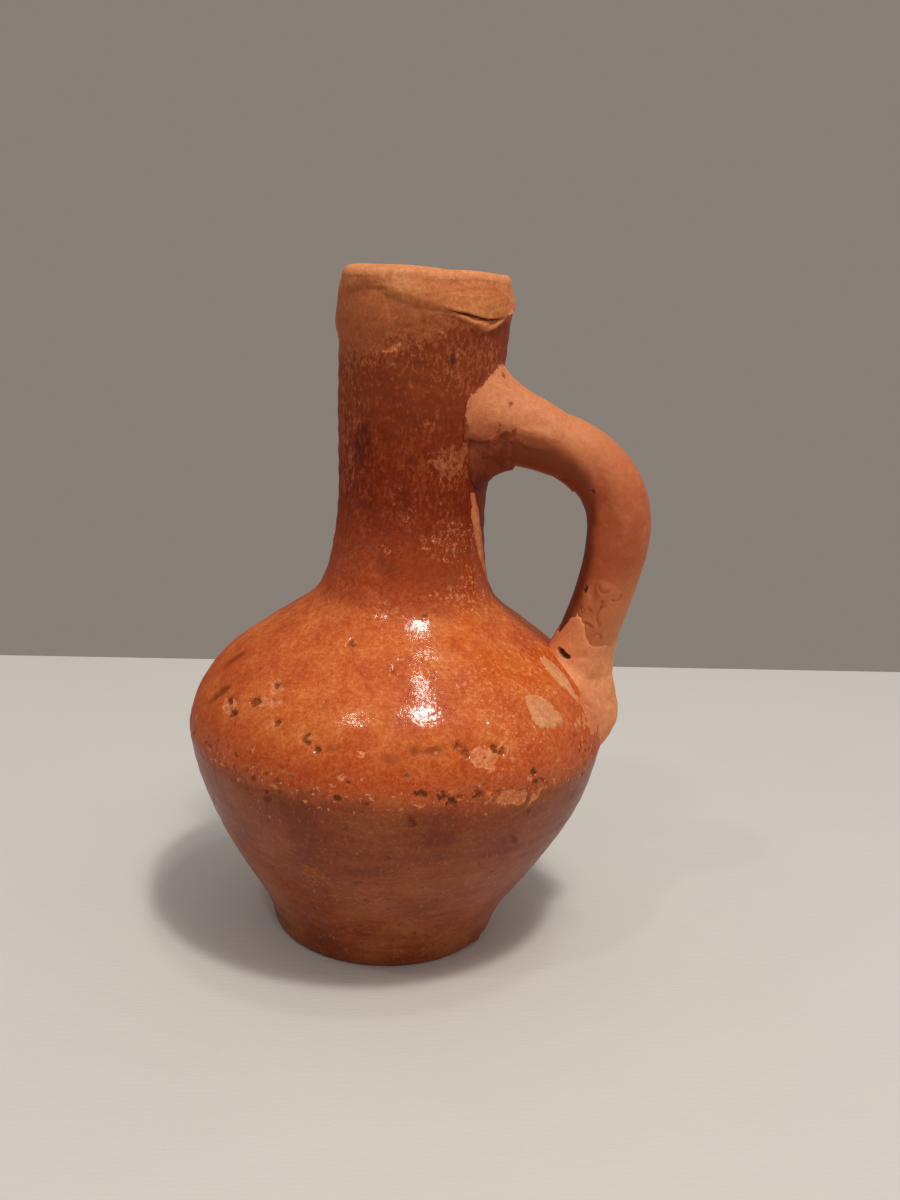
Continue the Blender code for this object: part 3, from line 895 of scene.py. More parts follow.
@dataclass(frozen=True)
class GlazeFinish:
    """Honey lead glaze over red clay, glossy on the shoulder, worn on the neck, dull under the belly."""

    name: str = "honey_glaze"
    amber: Colour = (0.64, 0.118, 0.014)
    pale_amber: Colour = (0.72, 0.168, 0.030)
    deep_amber: Colour = (0.53, 0.072, 0.007)
    belt_red: Colour = (0.52, 0.072, 0.007)
    root_red: Colour = (0.44, 0.064, 0.009)
    neck_red: Colour = (0.232, 0.023, 0.002)
    neck_tan: Colour = (0.34, 0.064, 0.016)
    neck_dark: Colour = (0.16, 0.014, 0.002)
    neck_brown: Colour = (0.29, 0.058, 0.016)
    under_brown: Colour = (0.275, 0.049, 0.008)
    under_tan: Colour = (0.33, 0.076, 0.016)
    under_dark: Colour = (0.215, 0.033, 0.005)
    under_fleck: Colour = (0.47, 0.140, 0.045)
    under_speck: Colour = (0.11, 0.022, 0.006)
    soot: Colour = (0.42, 0.50, 0.80)
    hole: Colour = (0.190, 0.054, 0.016)
    cream: Colour = (0.70, 0.340, 0.150)
    clay: Colour = (0.72, 0.230, 0.100)
    film: Colour = (0.46, 0.122, 0.040)
    gloss: float = 0.1
    coat_bend: float = 1.52
    coat_roughness: float = 0.12
    coat_peel: float = 0.06 * MM
    tooth: float = 0.05 * MM
    tooth_grain: float = 0.8
    dull_least: float = 0.45
    dull_most: float = 0.65
    wander: float = 9 * MM
    root_low: float = 0.0735
    root_high: float = 0.0790
    neck_low: float = 0.0790
    neck_high: float = 0.0980
    brown_low: float = 0.104
    brown_high: float = 0.122
    brown_share: float = 0.5
    red_high: float = 0.060
    red_low: float = 0.049
    red_share: float = 0.85
    belt_low: float = 0.0425
    belt_high: float = 0.0500
    neck_speckle: float = 0.4
    shoulder_speckle: float = 0.75
    under_speckle: float = 0.5
    fleck_share: float = 0.8
    speck_share: float = 0.7
    cream_share: float = 0.8
    hole_share: float = 0.8
    gloss_high: float = 0.100
    gloss_low: float = 0.076
    neck_gloss: float = 0.1
    under_gloss: float = 0.32
    broken_gloss: float = 0.2
    edge_gloss: float = 0.1

    def neck(self, bench: Bench) -> Socket:
        """Mottled red-brown of the worn glaze on the neck.

        Args:
            bench: The bench.

        Returns:
            The colour.
        """
        worn = bench.weighed({0.4: bench.clump, 0.6: bench.streak})
        colour = bench.ramp(worn, {0.38: self.neck_dark, 0.50: self.neck_red, 0.62: self.neck_tan})
        browned = bench.range(bench.height(), self.brown_low, self.brown_high, end=self.brown_share)
        return bench.mix(browned, bench.speckled(colour, self.neck_speckle), self.neck_brown)

    def lower_belly(self, bench: Bench, wide: Socket) -> Socket:
        """Dull brown of the lower belly, streaked round by the thrower's hand.

        Args:
            bench: The bench.
            wide: Wide blotches.

        Returns:
            The colour.
        """
        drawn = bench.noise(pitch=2.4 * MM, detail=4.0, rough=0.7, stretch=(0.25, 0.25, 1.3))
        patchy = bench.plus(bench.plus(wide, bench.times(bench.mottle, 0.15)), bench.times(drawn, 0.30))
        colour = bench.ramp(patchy, {0.42: self.under_dark, 0.50: self.under_brown, 0.59: self.under_tan})
        flecked = bench.range(bench.streak, 0.57, 0.68, end=self.fleck_share)
        specked = bench.range(bench.noise(pitch=2.6 * MM, detail=2.0), 0.65, 0.72, end=self.speck_share)
        return bench.mix(specked, bench.mix(flecked, colour, self.under_fleck), self.under_speck)

    def ground(self, bench: Bench, level: Socket, under: Socket) -> Socket:
        """Colour of the sound glaze, from the foot to the neck.

        Args:
            bench: The bench.
            level: Height, made to wander.
            under: Share of the dull lower belly.

        Returns:
            The colour.
        """
        wide = bench.times(bench.noise(pitch=14 * MM, detail=4.0), 0.55)
        blotch = bench.plus(wide, bench.times(bench.clump, 0.45))
        shoulder = bench.ramp(blotch, {0.38: self.deep_amber, 0.50: self.amber, 0.64: self.pale_amber})
        reddened = bench.range(level, self.red_high, self.red_low, end=self.red_share)
        shoulder = bench.mix(reddened, shoulder, self.belt_red)
        shoulder = bench.mix(bench.range(level, self.root_low, self.root_high), shoulder, self.root_red)
        speckle = bench.range(under, 0.0, 1.0, self.shoulder_speckle, self.under_speckle)
        colour = bench.speckled(bench.mix(under, shoulder, self.lower_belly(bench, wide)), speckle)
        return bench.mix(bench.range(level, self.neck_low, self.neck_high), colour, self.neck(bench))

    def glass(self, bench: Bench, under: Socket, worn: Socket) -> Socket:
        """Where the glassy coat lies: sound and broken up on the shoulder, thin on the neck and below.

        Args:
            bench: The bench.
            under: Share of the dull lower belly.
            worn: Share that is worn off.

        Returns:
            The weight of the coat.
        """
        height = bench.range(bench.height(), self.gloss_high, self.gloss_low, self.neck_gloss, 1.0)
        glossy = bench.times(height, bench.range(under, 0.0, 1.0, 1.0, self.under_gloss))
        sound = bench.range(worn, 0.0, 1.0, 1.0, 0.0)
        broken = bench.most(bench.range(bench.grain, 0.42, 0.56, self.broken_gloss, 1.0), under)
        seen = bench.most(bench.range(bench.edge_on(), 0.28, 0.75, 1.0, self.edge_gloss), under)
        return bench.times(bench.times(bench.times(glossy, sound), broken), seen)

    def make(self) -> bpy.types.Material:
        """Lay the finish out.

        Returns:
            The material.
        """
        bench = Bench(self.name, self.gloss)
        pit, chip, soot, film, crumb = (bench.painted(mark) for mark in PAINTED)
        wander = bench.times(bench.math(Sum.MINUS, bench.clump, NOISE_MIDDLE), self.wander)
        level = bench.plus(bench.height(), wander)
        under = bench.range(level, self.belt_high, self.belt_low)
        filmed = bench.broken(film, bench.streak, FILM_BREAK)
        pitted = bench.broken(pit, bench.grain, PIT_BREAK)
        chipped = bench.broken(chip, bench.grain, CHIP_BREAK)
        creamed = bench.times(bench.broken(crumb, bench.speck, CRUMB_BREAK), self.cream_share)

        colour = self.ground(bench, level, under)
        colour = bench.mix(filmed, colour, bench.speckled(bench.mix(bench.clump, self.film, self.neck_tan)))
        colour = bench.mix(bench.broken(soot, bench.grain, SOOT_BREAK), colour, self.soot, Lay.TINT)
        raw = bench.speckled(bench.mix(bench.speck, self.clay, self.pale_amber))
        colour = bench.mix(chipped, colour, raw)
        colour = bench.mix(creamed, colour, self.cream)
        colour = bench.mix(bench.times(pitted, self.hole_share), colour, bench.speckled(self.hole))

        worn = bench.most(bench.most(filmed, soot), bench.most(chipped, pitted))
        peel = bench.bump(bench.speck, self.coat_peel)
        bench.coat(self.glass(bench, under, worn), self.coat_bend, self.coat_roughness, peel)
        dull = bench.range(bench.mottle, 0.4, 0.6, self.dull_least, self.dull_most)
        tooth = bench.plus(bench.speck, bench.times(bench.grain, self.tooth_grain))
        return bench.finish(colour, dull, bench.bump(tooth, self.tooth))


@dataclass(frozen=True)
class ClayFinish:
    """Unglazed mending clay, smoothed or dragged by wet fingers."""

    name: str
    clay: Colour
    pale: Colour
    dark: Colour
    under: Colour
    roughness: float
    grain: float = 0.05 * MM
    drag: Axes = (1.0, 1.0, 1.0)
    on_glaze: bool = False
    blotch: float = 0.12
    speckle: float = 0.5
    gloss: float = 0.2
    wiped_and_lit_share: float = 0.9
    crumb_share: float = 0.7
    hole_share: float = 0.96
    hole_shade: float = 0.06
    roughness_play: float = 0.07

    def bare(self, bench: Bench) -> Socket:
        """Colour that shows where the clay is worn through: the old glaze, or the darker clay below.

        Args:
            bench: The bench.

        Returns:
            The colour.
        """
        if self.on_glaze:
            return GlazeFinish().neck(bench)
        return bench.speckled(bench.mix(bench.clump, self.under, self.dark))

    def make(self) -> bpy.types.Material:
        """Lay the finish out.

        Returns:
            The material.
        """
        bench = Bench(self.name, self.gloss)
        pit, chip, soot, film, crumb = (bench.painted(mark) for mark in PAINTED)
        wide = bench.noise(pitch=11 * MM, detail=3.0)
        dragged = bench.noise(pitch=3.2 * MM, detail=5.0, rough=0.7, stretch=self.drag)
        blotch = bench.times(bench.plus(wide, dragged), 0.5)
        low, high = NOISE_MIDDLE - self.blotch, NOISE_MIDDLE + self.blotch
        colour = bench.ramp(blotch, {low: self.dark, NOISE_MIDDLE: self.clay, high: self.pale})
        # Pale clay, and painted light: the tops of the roll and collar, the rim's lip and the pad's upper
        # left are painted pale
        colour = bench.mix(bench.times(chip, self.wiped_and_lit_share), colour, self.pale)
        # A second clay colour, and painted shade: the undersides of the roll and collar are painted dark
        colour = bench.mix(soot, colour, self.under)
        colour = bench.speckled(colour, self.speckle)
        colour = bench.mix(bench.broken(film, bench.streak, FILM_BREAK), colour, self.bare(bench))
        crumbs = bench.times(bench.broken(crumb, bench.speck, CRUMB_BREAK), self.crumb_share)
        colour = bench.mix(crumbs, colour, self.pale)
        # The hole colour is near black: painted shade inside slits and cracks
        hole = tuple(self.hole_shade * value for value in self.dark)
        colour = bench.mix(bench.times(pit, self.hole_share), colour, hole)
        smooth, rough = self.roughness - self.roughness_play, self.roughness + self.roughness_play
        dull = bench.range(dragged, 0.35, 0.65, smooth, rough)
        return bench.finish(colour, dull, bench.bump(bench.plus(dragged, bench.grain), self.grain))


Finish = GlazeFinish | ClayFinish

RIM_CLAY = ClayFinish("rim_clay", clay=(0.63, 0.190, 0.058), pale=(0.72, 0.250, 0.088),
                      dark=(0.51, 0.128, 0.036), under=(0.38, 0.088, 0.026), roughness=0.72,
                      grain=0.035 * MM, drag=(0.3, 0.3, 1.5), on_glaze=True)
# The roll's under colour is painted shade: the colour of its underside and the collar's, which lie in shade
ROLL_CLAY = ClayFinish("roll_clay", clay=(0.52, 0.118, 0.040), pale=(0.68, 0.225, 0.080),
                       dark=(0.44, 0.090, 0.028), under=(0.195, 0.034, 0.009), roughness=0.55,
                       grain=0.03 * MM, blotch=0.22, speckle=0.2)
COLLAR_CLAY = replace(ROLL_CLAY, name="collar_clay", grain=0.05 * MM, on_glaze=True, blotch=0.16, speckle=0.4)
PAD_CLAY = ClayFinish("pad_clay", clay=(0.79, 0.264, 0.101), pale=(0.92, 0.340, 0.135),
                      dark=(0.71, 0.216, 0.078), under=(0.64, 0.200, 0.070), roughness=0.66, blotch=0.16,
                      speckle=0.3)
SMEAR_CLAY = ClayFinish("smear_clay", clay=(0.72, 0.262, 0.098), pale=(0.77, 0.305, 0.122),
                        dark=(0.62, 0.195, 0.068), under=(0.45, 0.115, 0.038), roughness=0.72)
# The strip is painted paler than the other smears to make up for the shadow that the collar and handle cast
# on it: painted light
STRIP_CLAY = replace(SMEAR_CLAY, name="strip_clay", clay=(0.80, 0.250, 0.088), pale=(0.86, 0.310, 0.115),
                     dark=(0.66, 0.180, 0.058))
STUMP_GLAZE = ClayFinish("stump_glaze", clay=(0.18, 0.023, 0.004), pale=(0.30, 0.062, 0.018),
                         dark=(0.11, 0.012, 0.002), under=(0.30, 0.062, 0.019), roughness=0.70)


@dataclass
class JugPiece:
    """A piece of the jug: the node that it stands for, its finish slot, its finish and how it is sculpted."""

    form: VesselForm
    node: str = ""
    slot: str = ""
    name: str = ""
    look: Finish = SMEAR_CLAY

    def sculpt(self) -> bpy.types.Object:
        """Build the piece's mesh."""
        raise NotImplementedError

    def make(self) -> bpy.types.Object:
        """Sculpt the piece, dress it and seat it on the jug.

        Returns:
            The finished piece.
        """
        piece = self.sculpt()
        piece.data.materials.append(self.look.make())
        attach(piece, BODY)
        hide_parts(self.node)
        return piece


# Metres at angles in degrees: the rim's torn edge and overlap, the wiped clay, the lap and the feathering
RIM_EDGE = {-180: 0.1270, -145: 0.1262, -125: 0.1262, -108: 0.1280, -95: 0.1300, -80: 0.1322, -70: 0.1336,
            -61: 0.1339, -48: 0.1326, -34: 0.1313, -22: 0.1327, -12: 0.1339, 0: 0.1332, 40: 0.1306,
            90: 0.1280, 135: 0.1275}
RIM_OVERLAP = {-180: 0.0040, -110: 0.0036, -80: 0.0020, -62: 0.0012, -15: 0.0012, 10: 0.0022, 90: 0.0040}
CLAY_FROM = {-165: 0.1160, -140: 0.1150, -115: 0.1160, -100: 0.1180, -85: 0.1205, -70: 0.1240, -60: 0.1290,
             -47: 0.1305, -36: 0.1303, -22: 0.1310, -12: 0.1320, 0: 0.1300, 40: 0.1240, 90: 0.1190,
             135: 0.1160}
CLAY_TO = {-165: 0.1330, -140: 0.1325, -115: 0.1335, -100: 0.1345, -85: 0.1360, -70: 0.1370, -60: 0.1345,
           -47: 0.1332, -36: 0.1322, -22: 0.1334, -12: 0.1348, 0: 0.1345, 40: 0.1340, 90: 0.1335, 135: 0.1330}
LAP_EDGE = {-180: 0.1362, -125: 0.1392, -113: 0.1386, -95: 0.1370, -80: 0.1362, -63: 0.1355, -47: 0.1345,
            -36: 0.1339, -19: 0.1343, -5: 0.1350, 60: 0.1360}
LAP_SOFT = {-180: 0.0040, -125: 0.0026, -113: 0.0020, -80: 0.0016, -66: 0.0010, -55: 0.0005, -15: 0.0005,
            0: 0.0016, 90: 0.0040}
FEATHER = {-180: 0.0050, -110: 0.0045, -80: 0.0024, -62: 0.0006, -15: 0.0006, 10: 0.0024, 90: 0.0050}


def clay_share(turn: Array, level: Array) -> Array:
    """Share of the wall that is hidden under the clay wiped down from the rim."""
    low, high = keyed(turn, CLAY_FROM), keyed(turn, CLAY_TO)
    return smooth_step((level - low) / (high - low))


# Shares of the half size at angles in degrees: the outlines of the three smears
STRIP_OUTLINE = {-120: 0.7, -90: 1.0, -60: 0.7, 0: 0.8, 40: 1.1, 90: 1.0, 140: 1.1, 180: 0.8}
ROUND_DAB_OUTLINE = {-150: 1.0, -115: 0.9, -80: 1.14, -63: 0.97, -53: 1.3, -37: 1.38, -16: 1.15, -10: 0.82,
                     34: 0.78, 74: 0.9, 102: 0.92, 110: 1.22, 135: 1.22, 163: 0.95}
LONG_DAB_OUTLINE = {-90: 1.0, -40: 0.75, 0: 0.85, 40: 1.15, 90: 1.0, 140: 1.1, 180: 1.0, 220: 0.75}

# Metres at angles in degrees round the roll: the collar's run-out on the neck and the pad's torn top edge
COLLAR_RUN_OUT = {-180: 0.0010, -120: 0.0016, -85: 0.0014, -72: 0.0004, -40: 0.0002, -10: 0.0006, 40: 0.0006,
                  90: 0.0014}
PAD_EDGE = {-172: 0.0690, -158: 0.0702, -149: 0.0730, -139: 0.0742, -125: 0.0736, -114: 0.0722, -104: 0.0706,
            -89: 0.0694, -58: 0.0696, -20: 0.0690, 30: 0.0700, 90: 0.0694, 150: 0.0710}
PAD_SOFT = {-160: 0.0012, -122: 0.0014, -104: 0.0030, -85: 0.0045, -50: 0.0050, 40: 0.0050, 90: 0.0030,
            150: 0.0015}

# Depth of the thrower's rings at heights on the wall, in metres
RING_DEPTH = {0.0: 0.00004, 0.006: 0.00004, 0.020: 0.000035, 0.042: 0.00003, 0.050: 0.00002, 0.075: 0.00003,
              0.090: 0.00007, 0.13: 0.00006}


# Chips, pits, gouges and smudges of the glaze, in the order of working
VESSEL_MARKS = [
    Blemish(Mark.SMUDGE_AND_PAINTED_SHADE, at=(-144.5, 57), size=(3.2, 9), tilt=-34),
    Blemish(Mark.DENT, at=(-144.5, 57), size=(2.2, 8), depth=0.7, tilt=-34),
    Blemish(Mark.SMUDGE_AND_PAINTED_SHADE, at=(-164.9, 54.4), size=(2, 4.5)),
    Blemish(Mark.SMUDGE_AND_PAINTED_SHADE, at=(-153, 62.2), size=(3.2, 8), tilt=-24, strength=0.8),
    Blemish(Mark.CHIP_AND_PAINTED_LIGHT, at=(-121.6, 62.2), size=(3.6, 3.2), depth=0.2, strength=0.8),
    Blemish(Mark.PIT, at=(-122.3, 62.4), size=(2.1, 1.9), depth=0.5),
    Blemish(Mark.CHIP_AND_PAINTED_LIGHT, at=(-121, 59.8), size=(6.2, 2), depth=0.3, tilt=10),
    Blemish(Mark.PIT, at=(-126, 59.2), size=(2.6, 2.2), depth=0.5),
    Blemish(Mark.CHIP_AND_PAINTED_LIGHT, at=(-135, 57), size=(5.2, 3.6), depth=0.2, ragged=0.9, strength=0.75),
    Blemish(Mark.PIT, at=(-136.4, 57.4), size=(2.4, 2), depth=0.6),
    Blemish(Mark.PIT, at=(-132.1, 56.2), size=(2.8, 2.4), depth=0.6),
    Blemish(Mark.PIT, at=(-114.6, 57.4), size=(1.8, 1.7), depth=0.5),
    Blemish(Mark.PIT, at=(-104, 55.9), size=(1.8, 2.4), depth=0.5, tilt=20, ragged=0.9),
    Blemish(Mark.PIT, at=(-100.3, 54.8), size=(1.4, 1.4), depth=0.6),
    Blemish(Mark.SMUDGE_AND_PAINTED_SHADE, at=(-96.6, 55.6), size=(4.2, 2.2), strength=0.6),
    Blemish(Mark.PIT, at=(-103.8, 70.5), size=(2.2, 1.2), depth=0.6),
    Blemish(Mark.PIT, at=(-113.3, 48.4), size=(1.3, 1.2), depth=0.3, strength=0.7),
    Blemish(Mark.PIT, at=(-109.4, 47.7), size=(1.5, 1), depth=0.3, strength=0.7),
    Blemish(Mark.PIT, at=(-124.4, 47.2), size=(1.3, 1.3), depth=0.3, strength=0.6),
    Blemish(Mark.PIT, at=(-112.6, 43.2), size=(1.8, 1.8), depth=0.4, strength=0.7),
    Blemish(Mark.PIT, at=(-93.2, 46.6), size=(1.6, 1.6), depth=0.5),
    Blemish(Mark.CHIP_AND_PAINTED_LIGHT, at=(-48, 45.7), size=(6.6, 4.4), depth=0.3, tilt=-14, ragged=0.6),
    Blemish(Mark.CHIP_AND_PAINTED_LIGHT, at=(-40.5, 44.5), size=(2, 5.6), depth=0.2, tilt=-30, ragged=0.8, strength=0.6),
    Blemish(Mark.CHIP_AND_PAINTED_LIGHT, at=(-55.8, 54.2), size=(5.8, 4.6), depth=0.2, tilt=-24, ragged=0.5),
    Blemish(Mark.PIT, at=(-55.6, 54.3), size=(0.7, 0.7), depth=0.4),
    Blemish(Mark.SMUDGE_AND_PAINTED_SHADE, at=(-62, 56), size=(5.2, 4.4), tilt=-20, ragged=1, strength=0.6),
    Blemish(Mark.PIT, at=(-63, 56.6), size=(1.6, 1.6), depth=0.5, ragged=1, strength=0.75),
    Blemish(Mark.PIT, at=(-60.6, 55.2), size=(1.6, 1.9), depth=0.5, ragged=1, strength=0.75),
    Blemish(Mark.DENT, at=(-70.5, 56.2), size=(8, 1.8), depth=0.2),
    Blemish(Mark.SMUDGE_AND_PAINTED_SHADE, at=(-70.5, 56.1), size=(11, 2.6), ragged=1, strength=0.75),
    Blemish(Mark.SMUDGE_AND_PAINTED_SHADE, at=(-79.5, 54.8), size=(8, 2.4), ragged=0.9, strength=0.55),
    Blemish(Mark.PIT, at=(-67.1, 47.8), size=(1.9, 1.6), depth=0.6, ragged=0.9, strength=0.8),
    Blemish(Mark.PIT, at=(-64.9, 46.7), size=(2.2, 1.6), depth=0.6, tilt=-25, ragged=0.9),
    Blemish(Mark.PIT, at=(-72.6, 48.4), size=(2.2, 1.6), depth=0.6, ragged=0.9, strength=0.8),
    Blemish(Mark.PIT, at=(-58.2, 47.6), size=(2, 1.8), depth=0.5, ragged=0.9, strength=0.8),
    Blemish(Mark.PIT, at=(-41.1, 49.7), size=(1.7, 1.7), depth=0.7),
    Blemish(Mark.PIT, at=(-50.3, 54.9), size=(2, 1.6), depth=0.5),
    Blemish(Mark.PIT, at=(-52.4, 55.6), size=(1.8, 1.8), depth=0.5),
    Blemish(Mark.PIT, at=(-20.1, 50.5), size=(1.8, 2), depth=0.5),
    Blemish(Mark.CHIP_AND_PAINTED_LIGHT, at=(-18, 51.2), size=(1.2, 3), depth=0.3),
    Blemish(Mark.SMUDGE_AND_PAINTED_SHADE, at=(-42.5, 34.5), size=(1.6, 6), tilt=38, strength=0.8),
    Blemish(Mark.SMUDGE_AND_PAINTED_SHADE, at=(-74.2, 42.7), size=(1.6, 4.4), tilt=34, strength=0.8),
    Blemish(Mark.SMUDGE_AND_PAINTED_SHADE, at=(-99, 22.3), size=(4, 2.6), strength=0.5),
    Blemish(Mark.FILM, at=(-101, 26.5), size=(13, 7), strength=0.5),
    Blemish(Mark.SMUDGE_AND_PAINTED_SHADE, at=(-118, 109.8), size=(5, 8), ragged=0.8),
    Blemish(Mark.SMUDGE_AND_PAINTED_SHADE, at=(-124, 108.5), size=(3.4, 10), ragged=0.8, strength=0.8),
    Blemish(Mark.SMUDGE_AND_PAINTED_SHADE, at=(-81.8, 106.5), size=(4.4, 4), ragged=0.8, strength=0.6),
    Blemish(Mark.SMUDGE_AND_PAINTED_SHADE, at=(-59.4, 126.3), size=(2.2, 2.6), ragged=0.8),
    Blemish(Mark.FILM, at=(-52, 107), size=(9, 13), ragged=0.8, strength=0.62),
    Blemish(Mark.FILM, at=(-62, 124.5), size=(20, 20), ragged=0.8, strength=0.45),
    Blemish(Mark.FILM, at=(-45, 127.5), size=(18, 12), ragged=0.8, strength=0.5),
    Blemish(Mark.SMUDGE_AND_PAINTED_SHADE, at=(-48, 129), size=(14, 6), ragged=0.8, strength=0.45),
    Blemish(Mark.FILM, at=(-38, 108), size=(11, 7), ragged=0.8, strength=0.75),
    Blemish(Mark.FILM, at=(-20, 124.5), size=(7, 6), ragged=0.8, strength=0.7),
    Blemish(Mark.CHIP_AND_PAINTED_LIGHT, at=(-101.9, 127.6), size=(2.8, 1.2), depth=0.3, tilt=10, ragged=0.8),
    Blemish(Mark.CHIP_AND_PAINTED_LIGHT, at=(-96.5, 128.8), size=(2.4, 1), depth=0.2, tilt=30, ragged=0.8),
    Blemish(Mark.PIT, at=(-66.8, 75.8), size=(1.4, 1.2), depth=0.4),
    Blemish(Mark.DENT, at=(-99.5, 83.2), size=(4.6, 8.6), depth=0.9, tilt=6, ragged=0.4),
    Blemish(Mark.SMUDGE_AND_PAINTED_SHADE, at=(-101, 86.2), size=(3.6, 5), ragged=0.9, strength=0.45),
    Blemish(Mark.CHIP_AND_PAINTED_LIGHT, at=(-97, 88), size=(4, 3), depth=0.2, tilt=-30, ragged=0.9, strength=0.4),
    Blemish(Mark.CRUMB, at=(-35, 68), size=(16, 10), strength=0.28),
    Blemish(Mark.CRUMB, at=(-115, 52), size=(24, 12), strength=0.3),
    Blemish(Mark.SMUDGE_AND_PAINTED_SHADE, at=(-48, 85), size=(30, 16), ragged=1, strength=0.42),
    Blemish(Mark.CHIP_AND_PAINTED_LIGHT, at=(-42, 79.5), size=(21, 11), ragged=1.2, strength=0.37),
    Blemish(Mark.CHIP_AND_PAINTED_LIGHT, at=(-57, 88.5), size=(17, 9), ragged=1.2, strength=0.335),
    Blemish(Mark.CHIP_AND_PAINTED_LIGHT, at=(-80, 98), size=(16, 9), ragged=1.2, strength=0.24),
    Blemish(Mark.FILM, at=(-52, 85), size=(30, 22), ragged=1, strength=0.27),
    Blemish(Mark.FILM, at=(-38, 62), size=(38, 26), ragged=1, strength=0.22),
    Blemish(Mark.CHIP_AND_PAINTED_LIGHT, at=(-38, 64), size=(44, 28), ragged=1.2, strength=0.31),
    Blemish(Mark.CHIP_AND_PAINTED_LIGHT, at=(-8, 54.8), size=(9.5, 10), tilt=-10, ragged=0.9),
    Blemish(Mark.CRUMB, at=(-17.5, 55.2), size=(3, 4.4), tilt=-30, ragged=1.4, strength=0.8),
    Blemish(Mark.PIT, at=(-21.7, 53.4), size=(0.9, 0.9), depth=0.3),
    Blemish(Mark.LUMP, at=(-22, 1.8), size=(2.2, 1.8), depth=0.5),
]


@dataclass
class ThrownVessel(JugPiece):
    """Foot, belly, shoulder and neck, thrown as one wall, with the burst bubbles and chips of its glaze."""

    node: str = "thrown_vessel"
    slot: str = "honey_glaze"
    name: str = "glazed_vessel"
    look: Finish = GlazeFinish()
    columns: int = 768
    coarse: float = 0.80 * MM
    fine: float = 0.36 * MM
    fine_low: float = 0.042
    fine_high: float = 0.064
    neck_fade: float = 0.012
    ring_pitch: float = 0.0038
    ring_waver: float = 2.2
    lumps: float = 0.00009
    skin: float = 0.00003
    neck_skin: float = 0.00005
    neck_skin_from: float = 0.090
    neck_skin_rise: float = 0.020
    belt_height: float = 0.0478
    belt_width: float = 0.0035
    belt_wander: float = 0.0012
    belt_ridge: float = 0.00022
    belt_ridge_width: float = 0.0015
    belt_crumble: float = 0.00015
    belt_pits: float = 0.38
    belt_crumbs: float = 0.34
    belt_chips: float = 0.29
    wipe: float = 0.25
    wipe_from: float = 0.108
    side_wipe: float = 0.44
    side_wipe_from: float = 0.088
    side_wipe_turn: float = math.radians(-145)
    side_wipe_spread: float = 0.55
    wipe_rise: float = 0.016
    edge_still: float = 0.0015
    hollow_foot: float = 0.00025
    seed: int = 11
    bubbles: int = 260

    def burst(self) -> list[Blemish]:
        """Scatter burst bubbles of the glaze, most of them along the belt, in degrees and millimetres.

        Returns:
            The bubbles.
        """
        draw = np.random.default_rng(self.seed)
        found = []
        for _ in range(self.bubbles):
            turn = draw.uniform(-180.0, 180.0)
            level = draw.normal(47.4, 2.4) if draw.random() < 0.88 else draw.uniform(30.0, 72.0)
            size = draw.uniform(0.55, 0.8 + 1.1 * draw.random() ** 2)
            kind = Mark.CHIP_AND_PAINTED_LIGHT if draw.random() < 0.5 else Mark.PIT
            depth = 0.12 if kind is Mark.CHIP_AND_PAINTED_LIGHT else draw.uniform(0.15, 0.4)
            wide = size * draw.uniform(0.9, 1.8)
            found.append(Blemish(kind, at=(turn, level), size=(wide, size), depth=depth, ragged=0.8,
                                 strength=draw.uniform(0.4, 0.8)))
        return found

    def rows(self) -> Array:
        """Set the outside's rows, close together where the glaze is pitted.

        Returns:
            The height of each row.
        """
        steps = np.linalg.norm(np.diff(self.form.outside, axis=0), axis=1)
        run = np.concatenate([[0.0], np.cumsum(steps)])
        heights, place = [], 0.0
        while place < run[-1]:
            heights.append(float(np.interp(place, run, self.form.outside[:, 1])))
            place += self.fine if self.fine_low < heights[-1] < self.fine_high else self.coarse
        return np.array(heights + [self.form.outside[-1, 1]])

    def uneven(self, relief: Relief) -> None:
        """Work the thrower's rings, the hand's unevenness and the turn of the belly into the wall.

        Args:
            relief: The wall.
        """
        points, height = relief.points, relief.level
        waver = self.ring_waver * clumps(points, 22 * MM, 3, 2)
        thrown = np.sin(math.tau * height / self.ring_pitch + relief.turn + waver)
        relief.lift += np.interp(height, list(RING_DEPTH), list(RING_DEPTH.values())) * thrown
        relief.lift += self.form.swell_at(relief.turn, height)
        relief.lift += self.lumps * clumps(points, 6 * MM, 7) + self.skin * clumps(points, 1.8 * MM, 9, 2)
        belt = height - self.form.belly_height - self.belt_wander * lattice_noise(points, 18 * MM, 13)
        relief.lift += self.belt_ridge * bell(belt, 0.0, self.belt_ridge_width)
        crumbled = bell(belt, 0.0, self.belt_width)
        relief.lift += self.belt_crumble * crumbled * clumps(points, 1.3 * MM, 17, 2)
        on_neck = smooth_step((height - self.neck_skin_from) / self.neck_skin_rise)
        relief.lift += self.neck_skin * on_neck * clumps(points, 1.5 * MM, 15, 2)

    def weather(self, relief: Relief) -> None:
        """Paint the wiped clay under the rim, and where the glaze is pitted and flecked.

        Args:
            relief: The wall.
        """
        turn, level, points = relief.turn, relief.level, relief.points
        relief.paint(Mark.FILM, clay_share(turn, level))
        relief.paint(Mark.FILM, self.wipe * smooth_step((level - self.wipe_from) / self.wipe_rise))
        far_side = bell(wrap(turn - self.side_wipe_turn), 0.0, self.side_wipe_spread)
        wiped = smooth_step((level - self.side_wipe_from) / self.wipe_rise)
        relief.paint(Mark.FILM, self.side_wipe * far_side * wiped)
        wander = self.belt_wander * lattice_noise(points, 9 * MM, 19)
        belt = bell(level - wander, self.belt_height, self.belt_width)
        relief.paint(Mark.PIT, self.belt_pits * belt)
        relief.paint(Mark.CRUMB, self.belt_crumbs * belt)
        relief.paint(Mark.CHIP_AND_PAINTED_LIGHT, self.belt_chips * belt)

